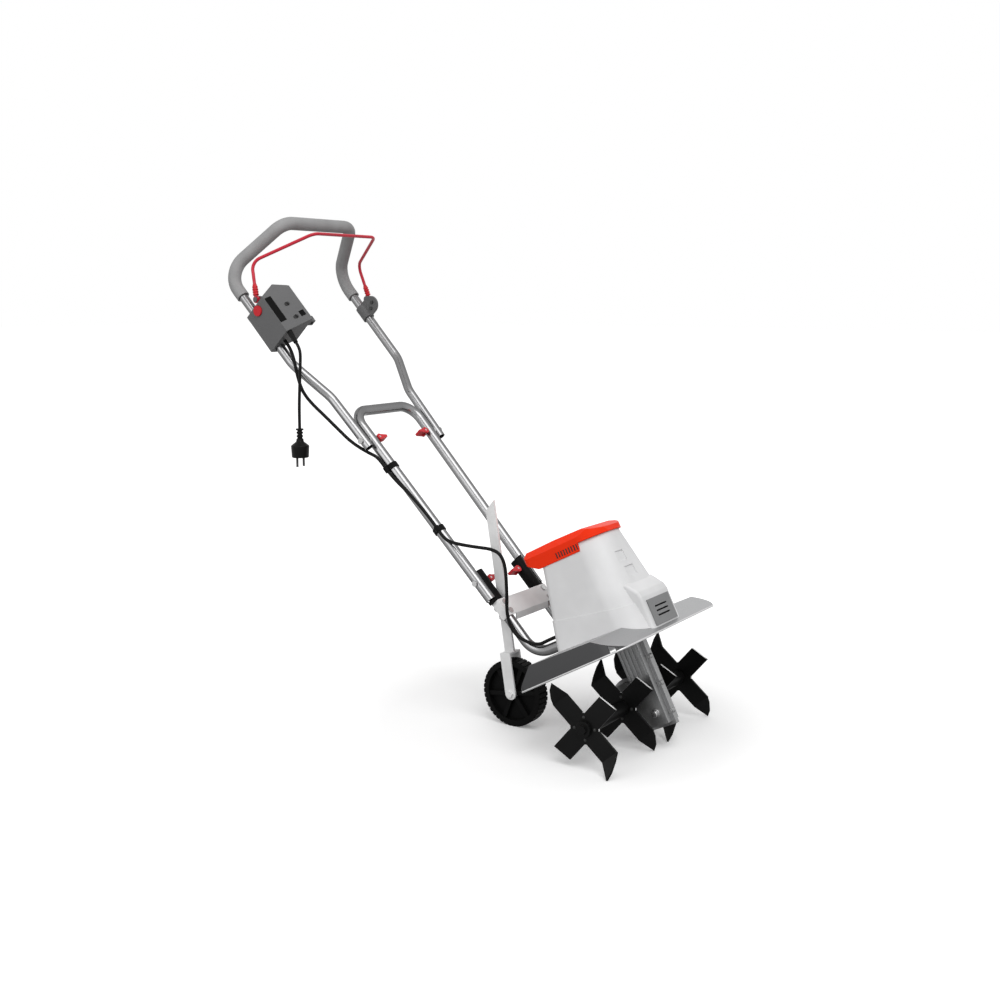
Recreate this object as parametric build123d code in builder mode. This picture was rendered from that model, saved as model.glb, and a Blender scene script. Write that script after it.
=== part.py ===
"""Electric garden tiller: motor tower and worm gearbox over tine stars, folding handle, depth wheel."""
from build123d import *
from math import cos, hypot, radians, sin
import os

os.makedirs("parts", exist_ok=True)

# Placing: X is the width (the machine's right is -X), -Y is forward, the ground is Z = 0
BODY_TILT = 27.0
HANDLE_TILT = 46.0
BAR_LEAN = 9.3
AXLE_Y = -402.5
FOOT_BACK = 275.0
FOOT_UP = 255.0

# Clearances
RUN_FIT = 0.05
SLIDE_GAP = 0.3
MOVE_GAP = 0.4

# Tine stars and their shaft
TINE_SHEET = 4.0
TINE_WIDTH = 39.0
TINE_FOLD = 66.0
FOLD_RUN = 6.0
TINE_REACH = 97.0
TINE_HOOK = 3.5
TINE_BEND = 22.0
FLAP_SHOULDER = (0.78, 0.36)
FLAP_CREST = (0.40, 0.78)
FLAT_REACH = 78.0
FLAT_SLANT = 8.0
TINE_ANGLE = -40.0
TINE_OUTER_X = 190.0
TINE_INNER_X = 50.0
TINE_CENTRE_R = 30.0
SHAFT_R = 9.0
HUB_R = 15.0
HUB_START = 26.0
HUB_END = 197.0
HUB_PIN_R = 3.0
HUB_PIN_X = 36.0
HUB_PIN_PROUD = 5.0
END_WASHER = 2.0
END_HEAD = 5.0

# Worm gearbox
WORM_OFFSET = 42.0
WORM_R = 8.4
WORM_ROOT = 6.4
WORM_HALF = 24.0
WORM_PITCH = 7.0
WORM_BORE = 12.0
ROTOR_R = 6.0
WHEEL_GEAR_HALF = 7.0
WHEEL_TEETH = 30
TOOTH_DEPTH = 4.0
LEG_BACK = 24.0
LEG_HALF = 21.0
LEG_BOTTOM = -58.0
LEG_WALL = 4.0
CASE_R = 40.0
RIM = 7.0
RIM_HALF = 5.0
RIB = 3.0
RIB_WIDTH = 4.0
RIB_COUNT = 5
BUSH_R = 13.0
BUSH_START = 8.5
GEAR_FLANGE = 8.0
GEAR_FLANGE_HALF = 42.0
SCREW_R = 2.5
SCREW_BOSS = 6.0

# Guard pan
PLATE_TOP = 143.0
PLATE_SHEET = 2.0
GUARD_HALF = 206.0
GUARD_REAR = 53.0
GUARD_BEND = 92.0
LIP_FRONT = 149.0
LIP_EDGE = 111.0
FLAP_REAR = 100.0
FLAP_EDGE = 101.0
LIP_CORNER = 45.0
FLAP_CORNER = 18.0

# Motor
MOTOR_R = 50.0
MOTOR_WALL = 4.0
BASE_FLANGE = 56.0
BASE_FLANGE_T = 6.0
BASE_HEIGHT = 48.0
STATOR_LONG = 70.0
STATOR_BORE = 30.0
ROTOR_GAP = 1.0
COIL_HEIGHT = 12.0
BELL_HEIGHT = 42.0
BELL_ROOF = 6.0
BEARING_R = 11.0
BEARING_T = 9.0
COMMUTATOR_R = 14.0
COMMUTATOR_LONG = 18.0
BRUSH_HIGH = 10.0
FAN_R = 40.0
FAN_BACK = 3.0
FAN_HIGH = 16.0
FAN_LIFT = 12.0
FAN_BLADES = 12
BOLT_R = 3.0
BOLT_PITCH = 27.5

# Motor housing and red cover
SHELL_WALL = 3.0
HOUSING_HIGH = 166.0
BASE_HALF = 90.0
BASE_REAR = 66.0
BASE_FRONT = 126.0
TOP_HALF = 64.0
TOP_REAR = 44.0
TOP_FRONT = 104.0
REAR_CORNER = 14.0
FRONT_CORNER = 52.0
FRONT_RISE = 13.0
BAND_REAR = 66.0
BAND_FRONT = 22.0
BAND_PROUD = 1.5
POCKET_DEEP = 2.0
POCKET_LIFT = 83.0
POCKET_HIGH = 21.0
POCKET_PITCH = 33.0
POCKET_WIDE = 32.0
POCKET_X = -28.0
POCKET_SHIFT = 8.0
CABLE_HOLE_X = -70.0
CABLE_HOLE_LIFT = 29.0
SNOUT_HALF = 55.0
SNOUT_FRONT = 136.0
SNOUT_CHIN = 38.0
SNOUT_BROW = 49.0
BROW_RUN = 3.0
SNOUT_HIGH = 73.0
SNOUT_RUN = 22.0
SNOUT_ROUND = 6.0
GRILLE_HALF = 43.0
GRILLE_EDGE = 8.0
GRILLE_T = 2.0
GRILLE_SLOTS = 3
SLOT_HIGH = 3.0
COVER_HIGH = 38.0
COVER_SKIRT = 12.0
COVER_STEP = 14.0
COVER_OVER = 2.0
COVER_TAIL = 76.0
COVER_SLOPE = 34.0
COVER_BEVEL = 14.0
COVER_NOTCH = 57.0
VENT_COUNT = 9
VENT_PITCH = 6.3
VENT_WIDTH = 3.2
VENT_HIGH = 11.0
VENT_LIFT = 7.0

# Lower frame and cross bracket
TUBE_R = 11.0
TUBE_WALL = 1.5
FRAME_X = 72.0
FRAME_TOP = 74.0
FRAME_BEND = 50.0
FRAME_NOSE = 60.0
SLEEVE_R = 13.5
COLLAR_LONG = 5.5
BRACKET_T = 2.5
BRACKET_TOP = -0.5
BRACKET_BOTTOM = -40.0
BRACKET_FLANGE = 14.0
BRACKET_EAR = 20.0
GUIDE_LOW = 150.0
GUIDE_TOP = 192.0

# Depth bar, fork and wheel
WHEEL_R = 68.5
WHEEL_HALF = 14.0
WHEEL_BACK = 243.0
BAR_X = -54.5
BAR_T = 5.5
BAR_HALF = 11.0
BAR_TOP = 392.0
BAR_CUT = 20.0
FORK_T = 4.0
FORK_HALF = 12.0
FORK_ROOM = 11.5
FORK_GAP = 1.0
AXLE_R = 4.0
TREAD_RIBS = 40
TREAD_DEEP = 2.5
RIM_DEEP = 12.0
SPOKES = 6
SPOKE_WIDTH = 9.0
WHEEL_HUB_R = 14.0
WEB_HALF = 3.0

# Lower handle and clamps
LEG_END = 8.0
LEG_X = 86.0
CROSS_X = 99.3
CROSS_ALONG = 507.0
CROSS_BEND = 40.0
LOW_CLAMP = 52.0
FLAT_LONG = 27.0
CLAMP_BELOW = 76.0
CLAMP_R = 3.0
SPACER = 3.6
LEVER_LIFT = 8.5
LEVER_R = 7.5
LEVER_LONG = 22.0
LEVER_HALF = 8.0
LEVER_SLOT = 3.6
LEVER_PIN = 2.4

# Upper handle and grip
GRIP_TUBE = 10.0
END_BELOW = 19.0
SPREAD_RUN = 95.0
SPREAD_BELOW = 49.0
SPREAD_X = 172.5
GRIP_X = 178.0
GRIP_RISE = 102.0
LOOP_X = 107.0
LOOP_AHEAD = 148.0
LOOP_RISE = 5.0
SPREAD_BEND = 60.0
GRIP_BEND = 50.0
LOOP_BEND = 40.0
FOAM_R = 14.0
FOAM_RISE = 34.0

# Switch box and bail
BOX_BELOW = 12.0
BOX_LONG = 98.0
BOX_OUT = 15.0
BOX_IN = 36.0
BOX_BACK = 14.0
RIDGE = 50.0
ROOF = 86.0
BOX_WALL = 3.5
LID_HUMP = 16.0
HUMP_OUT = -12.0
SCREW_ALONG = (21.0, 57.0)
POST_OUT = -14.0
BUTTON_R = 11.0
BUTTON_BELOW = 13.0
BUTTON_AHEAD = 20.0
BUTTON_PROUD = 3.0
BUTTON_TRAVEL = 3.5
STEM_R = 4.5
LABEL_LONG = 66.0
LABEL_WIDE = 14.0
LABEL_T = 0.8
BAIL_ALONG = 804.0
BAIL_AHEAD = 28.0
BAIL_WIRE = 3.5
EYE_R = 7.5
EYE_T = 6.0
EYE_PIN = 3.0
LUG_T = 6.0
BAIL_X = 178.5
ELBOW_X = 170.0
ELBOW_RISE = 72.0
ELBOW_AHEAD = 66.0
BAIL_TOP_X = 98.0
BAIL_TOP_RISE = 36.0
BAIL_TOP_AHEAD = 187.0
BAIL_BEND = 25.0
BOOT_R = 6.5
BOOT_START = 9.0
BOOT_LONG = 24.0
BRACKET_LONG = 34.0
EAR_R = 20.0

# Leads and plug
LEAD_R = 3.5
MAINS_R = 3.2
RELIEF_TILT = (-0.187, -0.722, -0.666)
RELIEF_LONG = 32.0
RELIEF_R = 6.0
RELIEF_END_R = 4.6
MAINS_X = -180.0
MAINS_AHEAD = 48.0
PLUG_NECK = 28.0
PLUG_BODY = 32.0
PLUG_R = 19.0
PIN_R = 2.4
PIN_LONG = 19.0
PIN_PITCH = 19.0
CLIP_BELOW = 75.0
CLIP_LOW = 188.0
CLIP_LONG = 12.0
HIGH_CLIP_OUT = 14.3
HIGH_CLIP_AHEAD = -6.0
LOW_CLIP_OUT = 13.7
LOW_CLIP_AHEAD = 7.5

HIGH_CLAMP = CROSS_ALONG - CLAMP_BELOW
UPPER_END = HIGH_CLAMP - END_BELOW
CLIP_HIGH = HIGH_CLAMP - CLIP_BELOW
BOX_END = BAIL_ALONG - BOX_BELOW
BOX_START = BOX_END - BOX_LONG
BUTTON_ALONG = BOX_END - BUTTON_BELOW
SPREAD_END = BOX_START - SPREAD_BELOW
SPREAD_START = SPREAD_END - SPREAD_RUN
FOAM_START = BAIL_ALONG + FOAM_RISE
GRIP_ALONG = BAIL_ALONG + GRIP_RISE
ELBOW_ALONG = BAIL_ALONG + ELBOW_RISE
BAIL_TOP_ALONG = BAIL_ALONG + BAIL_TOP_RISE
CABLE_HOLE_UP = PLATE_TOP + CABLE_HOLE_LIFT
SIDES = {"right": -1, "left": 1}


def save(builder, name):
    """Label a finished piece and write its STEP file."""
    builder.part.label = name
    export_step(builder.part, f"parts/{name}.step")


def blade_points():
    """The two ends of a bent blade's fold line and its tip, along, across and out of the blade."""
    half = TINE_WIDTH / 2
    fold_low = Vector(TINE_FOLD, -half, 0)
    fold_high = Vector(TINE_FOLD + FOLD_RUN, half, 0)
    tip = Vector(TINE_REACH, -half - TINE_HOOK, TINE_BEND)
    return fold_low, fold_high, tip


def axle_height():
    """The tines stand on their lowest tips, so these set the height of the shaft."""
    fold_low, fold_high, tip = blade_points()
    face = (fold_high - fold_low).cross(tip - fold_low).normalized()
    turn = radians(TINE_ANGLE)
    drop = -(tip.X * sin(turn) + tip.Y * cos(turn))
    return drop + TINE_SHEET / 2 * abs(face.X * sin(turn) + face.Y * cos(turn))


AXLE_Z = axle_height()
BODY_UP = (0, sin(radians(BODY_TILT)), cos(radians(BODY_TILT)))
BODY_REAR = (0, cos(radians(BODY_TILT)), -sin(radians(BODY_TILT)))
BODY = Plane(origin=(0, AXLE_Y, AXLE_Z), x_dir=(1, 0, 0), z_dir=BODY_UP)
BODY_SIDE = Plane(origin=(0, AXLE_Y, AXLE_Z), x_dir=BODY_REAR, z_dir=(1, 0, 0))
HANDLE_UP = (0, cos(radians(HANDLE_TILT)), sin(radians(HANDLE_TILT)))
HANDLE = Plane(origin=(0, AXLE_Y + FOOT_BACK, FOOT_UP), x_dir=(-1, 0, 0), z_dir=HANDLE_UP)
HANDLE_SIDE = Plane(origin=HANDLE.origin, x_dir=HANDLE_UP, z_dir=(1, 0, 0))
BAR_UP = (0, sin(radians(BAR_LEAN)), cos(radians(BAR_LEAN)))
BAR_REAR = (0, cos(radians(BAR_LEAN)), -sin(radians(BAR_LEAN)))
BAR_SIDE = Plane(origin=(BAR_X, AXLE_Y + WHEEL_BACK, WHEEL_R), x_dir=BAR_REAR, z_dir=(1, 0, 0))
BAR = Plane(origin=BAR_SIDE.origin, x_dir=(1, 0, 0), z_dir=BAR_UP)


def on_body(x, back, up):
    """A point by its place across, behind the worm wheel and above it, in the tilted body."""
    return BODY.from_local_coords(Vector(x, back, up))


def on_handle(x, along, ahead):
    """A point by its place across, up along the handle and ahead of the handle's plane."""
    return HANDLE.from_local_coords(Vector(-x, ahead, along))


def across(plane, x):
    """A side plane moved to the given X."""
    return Plane(origin=plane.origin + Vector(x - plane.origin.X, 0, 0), x_dir=plane.x_dir, z_dir=(1, 0, 0))


def swept_tube(points, radii, outer, bore=0):
    """A round tube along straight runs joined by tangent arcs."""
    with BuildPart() as tube:
        with BuildLine() as path:
            FilletPolyline(*points, radius=radii)
        with BuildSketch(Plane(origin=path.line @ 0, z_dir=path.line % 0)):
            Circle(outer)
            if bore:
                Circle(bore, mode=Mode.SUBTRACT)
        sweep(path=path.line)
    return tube.part


def x_rod(plane, spot, start, end, radius, mode=Mode.ADD):
    """A round rod along X between two X values, at a spot of a side plane."""
    with BuildSketch(across(plane, start)) as disc:
        with Locations(spot):
            Circle(radius)
    extrude(disc.sketch, amount=end - start, mode=mode)


# Tine shaft, hubs and stars
AXLE_SIDE = Plane(origin=(0, AXLE_Y, AXLE_Z), x_dir=(0, -1, 0), z_dir=(-1, 0, 0))

with BuildPart() as tine_shaft:
    with BuildSketch(AXLE_SIDE):
        Circle(SHAFT_R)
    extrude(amount=HUB_END, both=True)
    for side in SIDES.values():
        with BuildSketch(Plane.XY.offset(AXLE_Z)):
            with Locations((side * HUB_PIN_X, AXLE_Y)):
                Circle(HUB_PIN_R)
        extrude(amount=SHAFT_R, both=True, mode=Mode.SUBTRACT)
save(tine_shaft, "tine_shaft")

with BuildPart() as tine_hubs:
    for side in SIDES.values():
        with BuildSketch(AXLE_SIDE.offset(-side * HUB_START)):
            Circle(HUB_R)
            Circle(SHAFT_R, mode=Mode.SUBTRACT)
        extrude(amount=-side * (HUB_END - HUB_START))
        with BuildSketch(Plane.XY.offset(AXLE_Z)):
            with Locations((side * HUB_PIN_X, AXLE_Y)):
                Circle(HUB_PIN_R)
        extrude(amount=HUB_R, both=True, mode=Mode.SUBTRACT)
save(tine_hubs, "tine_hubs")

with BuildPart() as hub_fasteners:
    for side in SIDES.values():
        with BuildSketch(Plane.XY.offset(AXLE_Z)):
            with Locations((side * HUB_PIN_X, AXLE_Y)):
                Circle(HUB_PIN_R)
        extrude(amount=HUB_R + HUB_PIN_PROUD, both=True)
        with BuildSketch(AXLE_SIDE.offset(-side * HUB_END)):
            Circle(HUB_R)
        extrude(amount=-side * END_WASHER)
        with BuildSketch(AXLE_SIDE.offset(-side * (HUB_END + END_WASHER))):
            RegularPolygon(SHAFT_R, 6)
        extrude(amount=-side * END_HEAD)
save(hub_fasteners, "hub_fasteners")


def turned(plane, angle):
    """A plane turned about its own normal."""
    turn = radians(angle)
    return Plane(
        origin=plane.origin,
        x_dir=plane.x_dir * cos(turn) + plane.y_dir * sin(turn),
        z_dir=plane.z_dir,
    )


def tine_star(x, lean):
    """Four blades on a round centre: two flat, two with hooked ends bent to one side."""
    plane = AXLE_SIDE.offset(-x)
    fold_low, fold_high, tip = blade_points()
    half = TINE_WIDTH / 2
    with BuildPart() as star:
        with BuildSketch(plane):
            Circle(TINE_CENTRE_R)
        extrude(amount=TINE_SHEET / 2, both=True)
        for quarter in range(4):
            blade = turned(plane, TINE_ANGLE + 90 * quarter)
            bent = quarter % 2 == 0
            low = TINE_FOLD if bent else FLAT_REACH
            high = TINE_FOLD + FOLD_RUN if bent else FLAT_REACH - FLAT_SLANT
            with BuildSketch(blade):
                Polygon((0, -half), (low, -half), (high, half), (0, half), align=None)
            extrude(amount=TINE_SHEET / 2, both=True)
            if bent:
                corners = [Vector(p.X, p.Y, lean * p.Z) for p in (fold_low, fold_high, tip)]
                start, end, point = [blade.from_local_coords(p) for p in corners]
                flap = Plane(origin=start, x_dir=end - start, z_dir=(end - start).cross(point - start))
                long = (end - start).length
                peak = flap.to_local_coords(point)
                with BuildSketch(flap):
                    Polygon(
                        (0, 0),
                        (long, 0),
                        (FLAP_SHOULDER[0] * long, FLAP_SHOULDER[1] * peak.Y),
                        (FLAP_CREST[0] * long, FLAP_CREST[1] * peak.Y),
                        (peak.X, peak.Y),
                        align=None,
                    )
                extrude(amount=TINE_SHEET / 2, both=True)
                with BuildSketch(Plane(origin=start, z_dir=end - start)):
                    Circle(TINE_SHEET / 2)
                extrude(amount=(end - start).length)
        with BuildSketch(plane):
            Circle(HUB_R)
        extrude(amount=TINE_SHEET, both=True, mode=Mode.SUBTRACT)
    return star.part


outer_stars = [tine_star(side * TINE_OUTER_X, -side) for side in SIDES.values()]
with BuildPart() as outer_tines:
    add(outer_stars)
save(outer_tines, "outer_tines")

inner_stars = [tine_star(side * TINE_INNER_X, side) for side in SIDES.values()]
with BuildPart() as inner_tines:
    add(inner_stars)
save(inner_tines, "inner_tines")

# Worm wheel and gearbox
WHEEL_GEAR_R = WORM_OFFSET - WORM_R - MOVE_GAP
LEG_TOP = PLATE_TOP - PLATE_SHEET

with BuildPart() as worm_wheel:
    with BuildSketch(BODY_SIDE):
        Circle(WHEEL_GEAR_R)
        Circle(SHAFT_R, mode=Mode.SUBTRACT)
        with PolarLocations(WHEEL_GEAR_R - TOOTH_DEPTH / 2, WHEEL_TEETH):
            Rectangle(TOOTH_DEPTH, TOOTH_DEPTH * 0.8, mode=Mode.SUBTRACT)
    extrude(amount=WHEEL_GEAR_HALF, both=True)
save(worm_wheel, "worm_wheel")

LEG_FRONT = WORM_OFFSET + LEG_BACK
LEG_REAR = WORM_OFFSET - LEG_BACK
RIM_MIDDLE = RIM / 2
SCREW_SPOTS = [
    (-LEG_FRONT - RIM_MIDDLE, 71),
    (-LEG_FRONT - RIM_MIDDLE, 16),
    (-LEG_FRONT - RIM_MIDDLE, -40),
    (-LEG_REAR + RIM_MIDDLE, 98),
    (-LEG_REAR + RIM_MIDDLE, 58),
    (CASE_R + RIM_MIDDLE, 0),
]


def leg_outline(grow):
    """The gearbox seen from the side: a leg round the worm and a round case at the worm wheel."""
    with Locations((-WORM_OFFSET, (LEG_TOP + LEG_BOTTOM - grow) / 2)):
        Rectangle(2 * (LEG_BACK + grow), LEG_TOP - LEG_BOTTOM + grow)
    Circle(CASE_R + grow)


for name, side in SIDES.items():
    with BuildPart() as gearbox:
        with BuildSketch(BODY_SIDE):
            leg_outline(0)
        extrude(amount=side * LEG_HALF)
        with BuildSketch(BODY_SIDE):
            leg_outline(RIM)
            with Locations(*SCREW_SPOTS):
                Circle(SCREW_BOSS)
        extrude(amount=side * RIM_HALF)
        with BuildSketch(BODY_SIDE):
            with Locations((-WORM_OFFSET, CASE_R + (LEG_TOP - CASE_R) / 2)):
                with GridLocations(2 * LEG_BACK / RIB_COUNT, 0, RIB_COUNT, 1):
                    Rectangle(RIB_WIDTH, LEG_TOP - CASE_R)
        extrude(amount=side * (LEG_HALF + RIB))
        with BuildSketch(BODY.offset(LEG_TOP - GEAR_FLANGE)):
            with Locations((side * GEAR_FLANGE_HALF / 2, -WORM_OFFSET)):
                Rectangle(GEAR_FLANGE_HALF, 2 * GEAR_FLANGE_HALF)
        extrude(amount=GEAR_FLANGE)
        with BuildSketch(BODY.offset(LEG_BOTTOM + LEG_WALL)):
            with Locations((0, -WORM_OFFSET)):
                Circle(WORM_BORE)
        extrude(amount=LEG_TOP - LEG_BOTTOM, mode=Mode.SUBTRACT)
        x_rod(BODY_SIDE, (0, 0), 0, side * BUSH_START, WHEEL_GEAR_R + MOVE_GAP + 2, Mode.SUBTRACT)
        x_rod(BODY_SIDE, (0, 0), 0, side * LEG_HALF, BUSH_R, Mode.SUBTRACT)
        for spot in SCREW_SPOTS:
            x_rod(BODY_SIDE, spot, 0, side * RIM_HALF, SCREW_R, Mode.SUBTRACT)
        with BuildSketch(BODY.offset(LEG_TOP)):
            with Locations((side * BOLT_PITCH, -WORM_OFFSET)):
                with GridLocations(0, 2 * BOLT_PITCH, 1, 2):
                    Circle(BOLT_R)
        extrude(amount=-GEAR_FLANGE, mode=Mode.SUBTRACT)
    save(gearbox, f"gearbox_{name}")

with BuildPart() as gearbox_screws:
    for spot in SCREW_SPOTS:
        x_rod(BODY_SIDE, spot, -RIM_HALF, RIM_HALF, SCREW_R)
        x_rod(BODY_SIDE, spot, -RIM_HALF - SCREW_R, -RIM_HALF, RIM_MIDDLE - SLIDE_GAP)
        x_rod(BODY_SIDE, spot, RIM_HALF, RIM_HALF + SCREW_R, RIM_MIDDLE - SLIDE_GAP)
save(gearbox_screws, "gearbox_screws")

with BuildPart() as tine_bushes:
    for side in SIDES.values():
        with BuildSketch(across(BODY_SIDE, side * BUSH_START)):
            Circle(BUSH_R)
            Circle(SHAFT_R + RUN_FIT, mode=Mode.SUBTRACT)
        extrude(amount=side * (LEG_HALF - BUSH_START))
save(tine_bushes, "tine_bushes")

# Motor, from the plate upwards
SHAFT_AXIS = Axis(on_body(0, -WORM_OFFSET, 0), BODY_UP)
MOTOR_SIDE = Plane(origin=on_body(0, -WORM_OFFSET, 0), x_dir=BODY_REAR, z_dir=(1, 0, 0))
STATOR_LOW = PLATE_TOP + BASE_HEIGHT
STATOR_TOP = STATOR_LOW + STATOR_LONG
BELL_TOP = STATOR_TOP + BELL_HEIGHT
LOW_BEARING = LEG_BOTTOM + LEG_WALL


def ring(low, high, outer, inner):
    """A round ring about the motor shaft between two heights."""
    with BuildSketch(MOTOR_SIDE) as section:
        with Locations(((outer + inner) / 2, (low + high) / 2)):
            Rectangle(outer - inner, high - low)
    revolve(section.sketch, axis=SHAFT_AXIS)


with BuildPart() as motor_base:
    ring(PLATE_TOP, PLATE_TOP + BASE_FLANGE_T, BASE_FLANGE, WORM_BORE)
    ring(PLATE_TOP, STATOR_LOW, MOTOR_R, MOTOR_R - MOTOR_WALL)
    with BuildSketch(BODY.offset(PLATE_TOP + BASE_FLANGE_T)):
        with Locations((0, -WORM_OFFSET)):
            with PolarLocations(MOTOR_R, 4):
                Rectangle(BASE_FLANGE / 2, BASE_FLANGE / 2)
    extrude(amount=BASE_HEIGHT / 2, mode=Mode.SUBTRACT)
    with BuildSketch(BODY.offset(PLATE_TOP)):
        with Locations((0, -WORM_OFFSET)):
            with GridLocations(2 * BOLT_PITCH, 2 * BOLT_PITCH, 2, 2):
                Circle(BOLT_R)
    extrude(amount=BASE_FLANGE_T, mode=Mode.SUBTRACT)
save(motor_base, "motor_base")

with BuildPart() as stator:
    ring(STATOR_LOW, STATOR_TOP, MOTOR_R, STATOR_BORE)
save(stator, "stator")

with BuildPart() as field_coils:
    for low, high in ((STATOR_LOW - COIL_HEIGHT, STATOR_LOW), (STATOR_TOP, STATOR_TOP + COIL_HEIGHT)):
        ring(low, high, MOTOR_R - MOTOR_WALL - SLIDE_GAP, STATOR_BORE + ROTOR_GAP)
save(field_coils, "field_coils")

with BuildPart() as motor_bell:
    ring(STATOR_TOP, BELL_TOP, MOTOR_R, MOTOR_R - MOTOR_WALL)
    ring(BELL_TOP - BELL_ROOF, BELL_TOP, MOTOR_R, BEARING_R)
    ring(BELL_TOP - BEARING_T, BELL_TOP, BEARING_R + MOTOR_WALL, BEARING_R)
save(motor_bell, "motor_bell")

with BuildPart() as rotor_bearings:
    ring(LOW_BEARING, LOW_BEARING + BEARING_T, WORM_BORE, ROTOR_R + RUN_FIT)
    ring(LEG_TOP - BEARING_T, LEG_TOP, WORM_BORE, ROTOR_R + RUN_FIT)
    ring(BELL_TOP - BEARING_T, BELL_TOP, BEARING_R, ROTOR_R + RUN_FIT)
save(rotor_bearings, "rotor_bearings")

BRUSH_LOW = STATOR_TOP + COIL_HEIGHT + SLIDE_GAP
with BuildPart() as brush_holders:
    for side in SIDES.values():
        reach = MOTOR_R - MOTOR_WALL - SLIDE_GAP - COMMUTATOR_R - MOVE_GAP
        with BuildSketch(BODY.offset(BRUSH_LOW)):
            with Locations((side * (COMMUTATOR_R + MOVE_GAP + reach / 2), -WORM_OFFSET)):
                Rectangle(reach, BRUSH_HIGH)
        extrude(amount=BRUSH_HIGH)
save(brush_holders, "brush_holders")

with BuildPart() as rotor_shaft:
    ring(LOW_BEARING + SLIDE_GAP, BELL_TOP, ROTOR_R, 0)
    turns = int(2 * WORM_HALF / WORM_PITCH)
    for turn in range(turns):
        low = -WORM_HALF + turn * WORM_PITCH
        ring(low, low + WORM_PITCH / 2, WORM_R, 0)
    ring(-WORM_HALF, WORM_HALF, WORM_ROOT, 0)
save(rotor_shaft, "rotor_shaft")

with BuildPart() as armature:
    ring(STATOR_LOW, STATOR_TOP, STATOR_BORE - ROTOR_GAP, ROTOR_R)
    with BuildSketch(BODY.offset(STATOR_LOW)):
        with Locations((0, -WORM_OFFSET)):
            with PolarLocations(STATOR_BORE - ROTOR_GAP, 12):
                Rectangle(TOOTH_DEPTH * 2, TOOTH_DEPTH)
    extrude(amount=STATOR_LONG, mode=Mode.SUBTRACT)
    ring(BRUSH_LOW - TOOTH_DEPTH, BRUSH_LOW - TOOTH_DEPTH + COMMUTATOR_LONG, COMMUTATOR_R, ROTOR_R)
save(armature, "armature")

FAN_LOW = PLATE_TOP + FAN_LIFT
with BuildPart() as cooling_fan:
    ring(FAN_LOW, FAN_LOW + FAN_BACK, FAN_R, ROTOR_R)
    ring(FAN_LOW, FAN_LOW + FAN_HIGH, COMMUTATOR_R, ROTOR_R)
    with BuildSketch(BODY.offset(FAN_LOW)):
        with Locations((0, -WORM_OFFSET)):
            with PolarLocations((FAN_R + COMMUTATOR_R) / 2, FAN_BLADES):
                Rectangle(FAN_R - COMMUTATOR_R - FAN_BACK, FAN_BACK)
    extrude(amount=FAN_HIGH)
save(cooling_fan, "cooling_fan")

# Guard pan under the motor
TUBE_LEVEL = PLATE_TOP + TUBE_R
FRAME_BOLTS = (GUARD_REAR - 18, -FRAME_NOSE + 12)

FLAP_RUN = (FLAP_REAR - GUARD_REAR) / (PLATE_TOP - FLAP_EDGE)
LIP_RUN = (LIP_FRONT - GUARD_BEND) / (PLATE_TOP - LIP_EDGE)


def guard_profile(sheet, low):
    """The pan from the side: a flat top, a sloping rear flap and front lip, thinned by the sheet."""
    flap_shift = sheet * hypot(1, FLAP_RUN)
    lip_shift = sheet * hypot(1, LIP_RUN)
    Polygon(
        (GUARD_REAR + FLAP_RUN * sheet - flap_shift, PLATE_TOP - sheet),
        (FLAP_REAR + FLAP_RUN * low - flap_shift, FLAP_EDGE - low),
        (-LIP_FRONT - LIP_RUN * low + lip_shift, LIP_EDGE - low),
        (-GUARD_BEND - LIP_RUN * sheet + lip_shift, PLATE_TOP - sheet),
        align=None,
    )


def guard_plan(sheet):
    """The pan from above: a broad sheet with round front corners."""
    with BuildSketch(BODY) as plan:
        with Locations((0, (FLAP_REAR - LIP_FRONT) / 2)):
            Rectangle(2 * (GUARD_HALF - sheet), FLAP_REAR + LIP_FRONT + 4 * sheet)
        fillet(plan.vertices().group_by(Axis.Y)[-1], FLAP_CORNER - sheet)
        fillet(plan.vertices().group_by(Axis.Y)[0], LIP_CORNER - sheet)
    return plan.sketch


with BuildPart() as guard_room:
    with BuildSketch(BODY_SIDE):
        guard_profile(PLATE_SHEET, FLAP_CORNER)
    extrude(amount=GUARD_HALF, both=True)
    extrude(guard_plan(PLATE_SHEET), amount=2 * PLATE_TOP, mode=Mode.INTERSECT)

with BuildPart() as guard_plate:
    with BuildSketch(BODY_SIDE):
        guard_profile(0, 0)
    extrude(amount=GUARD_HALF, both=True)
    extrude(guard_plan(0), amount=2 * PLATE_TOP, mode=Mode.INTERSECT)
    add(guard_room.part, mode=Mode.SUBTRACT)
    with BuildSketch(BODY.offset(PLATE_TOP)):
        with Locations((0, -WORM_OFFSET)):
            Circle(WORM_BORE)
            with GridLocations(2 * BOLT_PITCH, 2 * BOLT_PITCH, 2, 2):
                Circle(BOLT_R)
        for back in FRAME_BOLTS:
            with Locations((-FRAME_X, back), (FRAME_X, back)):
                Circle(BOLT_R)
    extrude(amount=-PLATE_SHEET, mode=Mode.SUBTRACT)
save(guard_plate, "guard_plate")


# Motor housing: a flared tower with a snout over the front lip
def tower_section(level, half, rear, front, inset):
    """One level of the tower: square rear corners, broad round front."""
    with BuildSketch(BODY.offset(level)) as section:
        with Locations((0, (rear - front) / 2)):
            Rectangle(2 * (half - inset), rear + front - 2 * inset)
        fillet(section.vertices().group_by(Axis.Y)[-1], REAR_CORNER)
        fillet(section.vertices().group_by(Axis.Y)[0], FRONT_CORNER)
    return section.sketch


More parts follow.
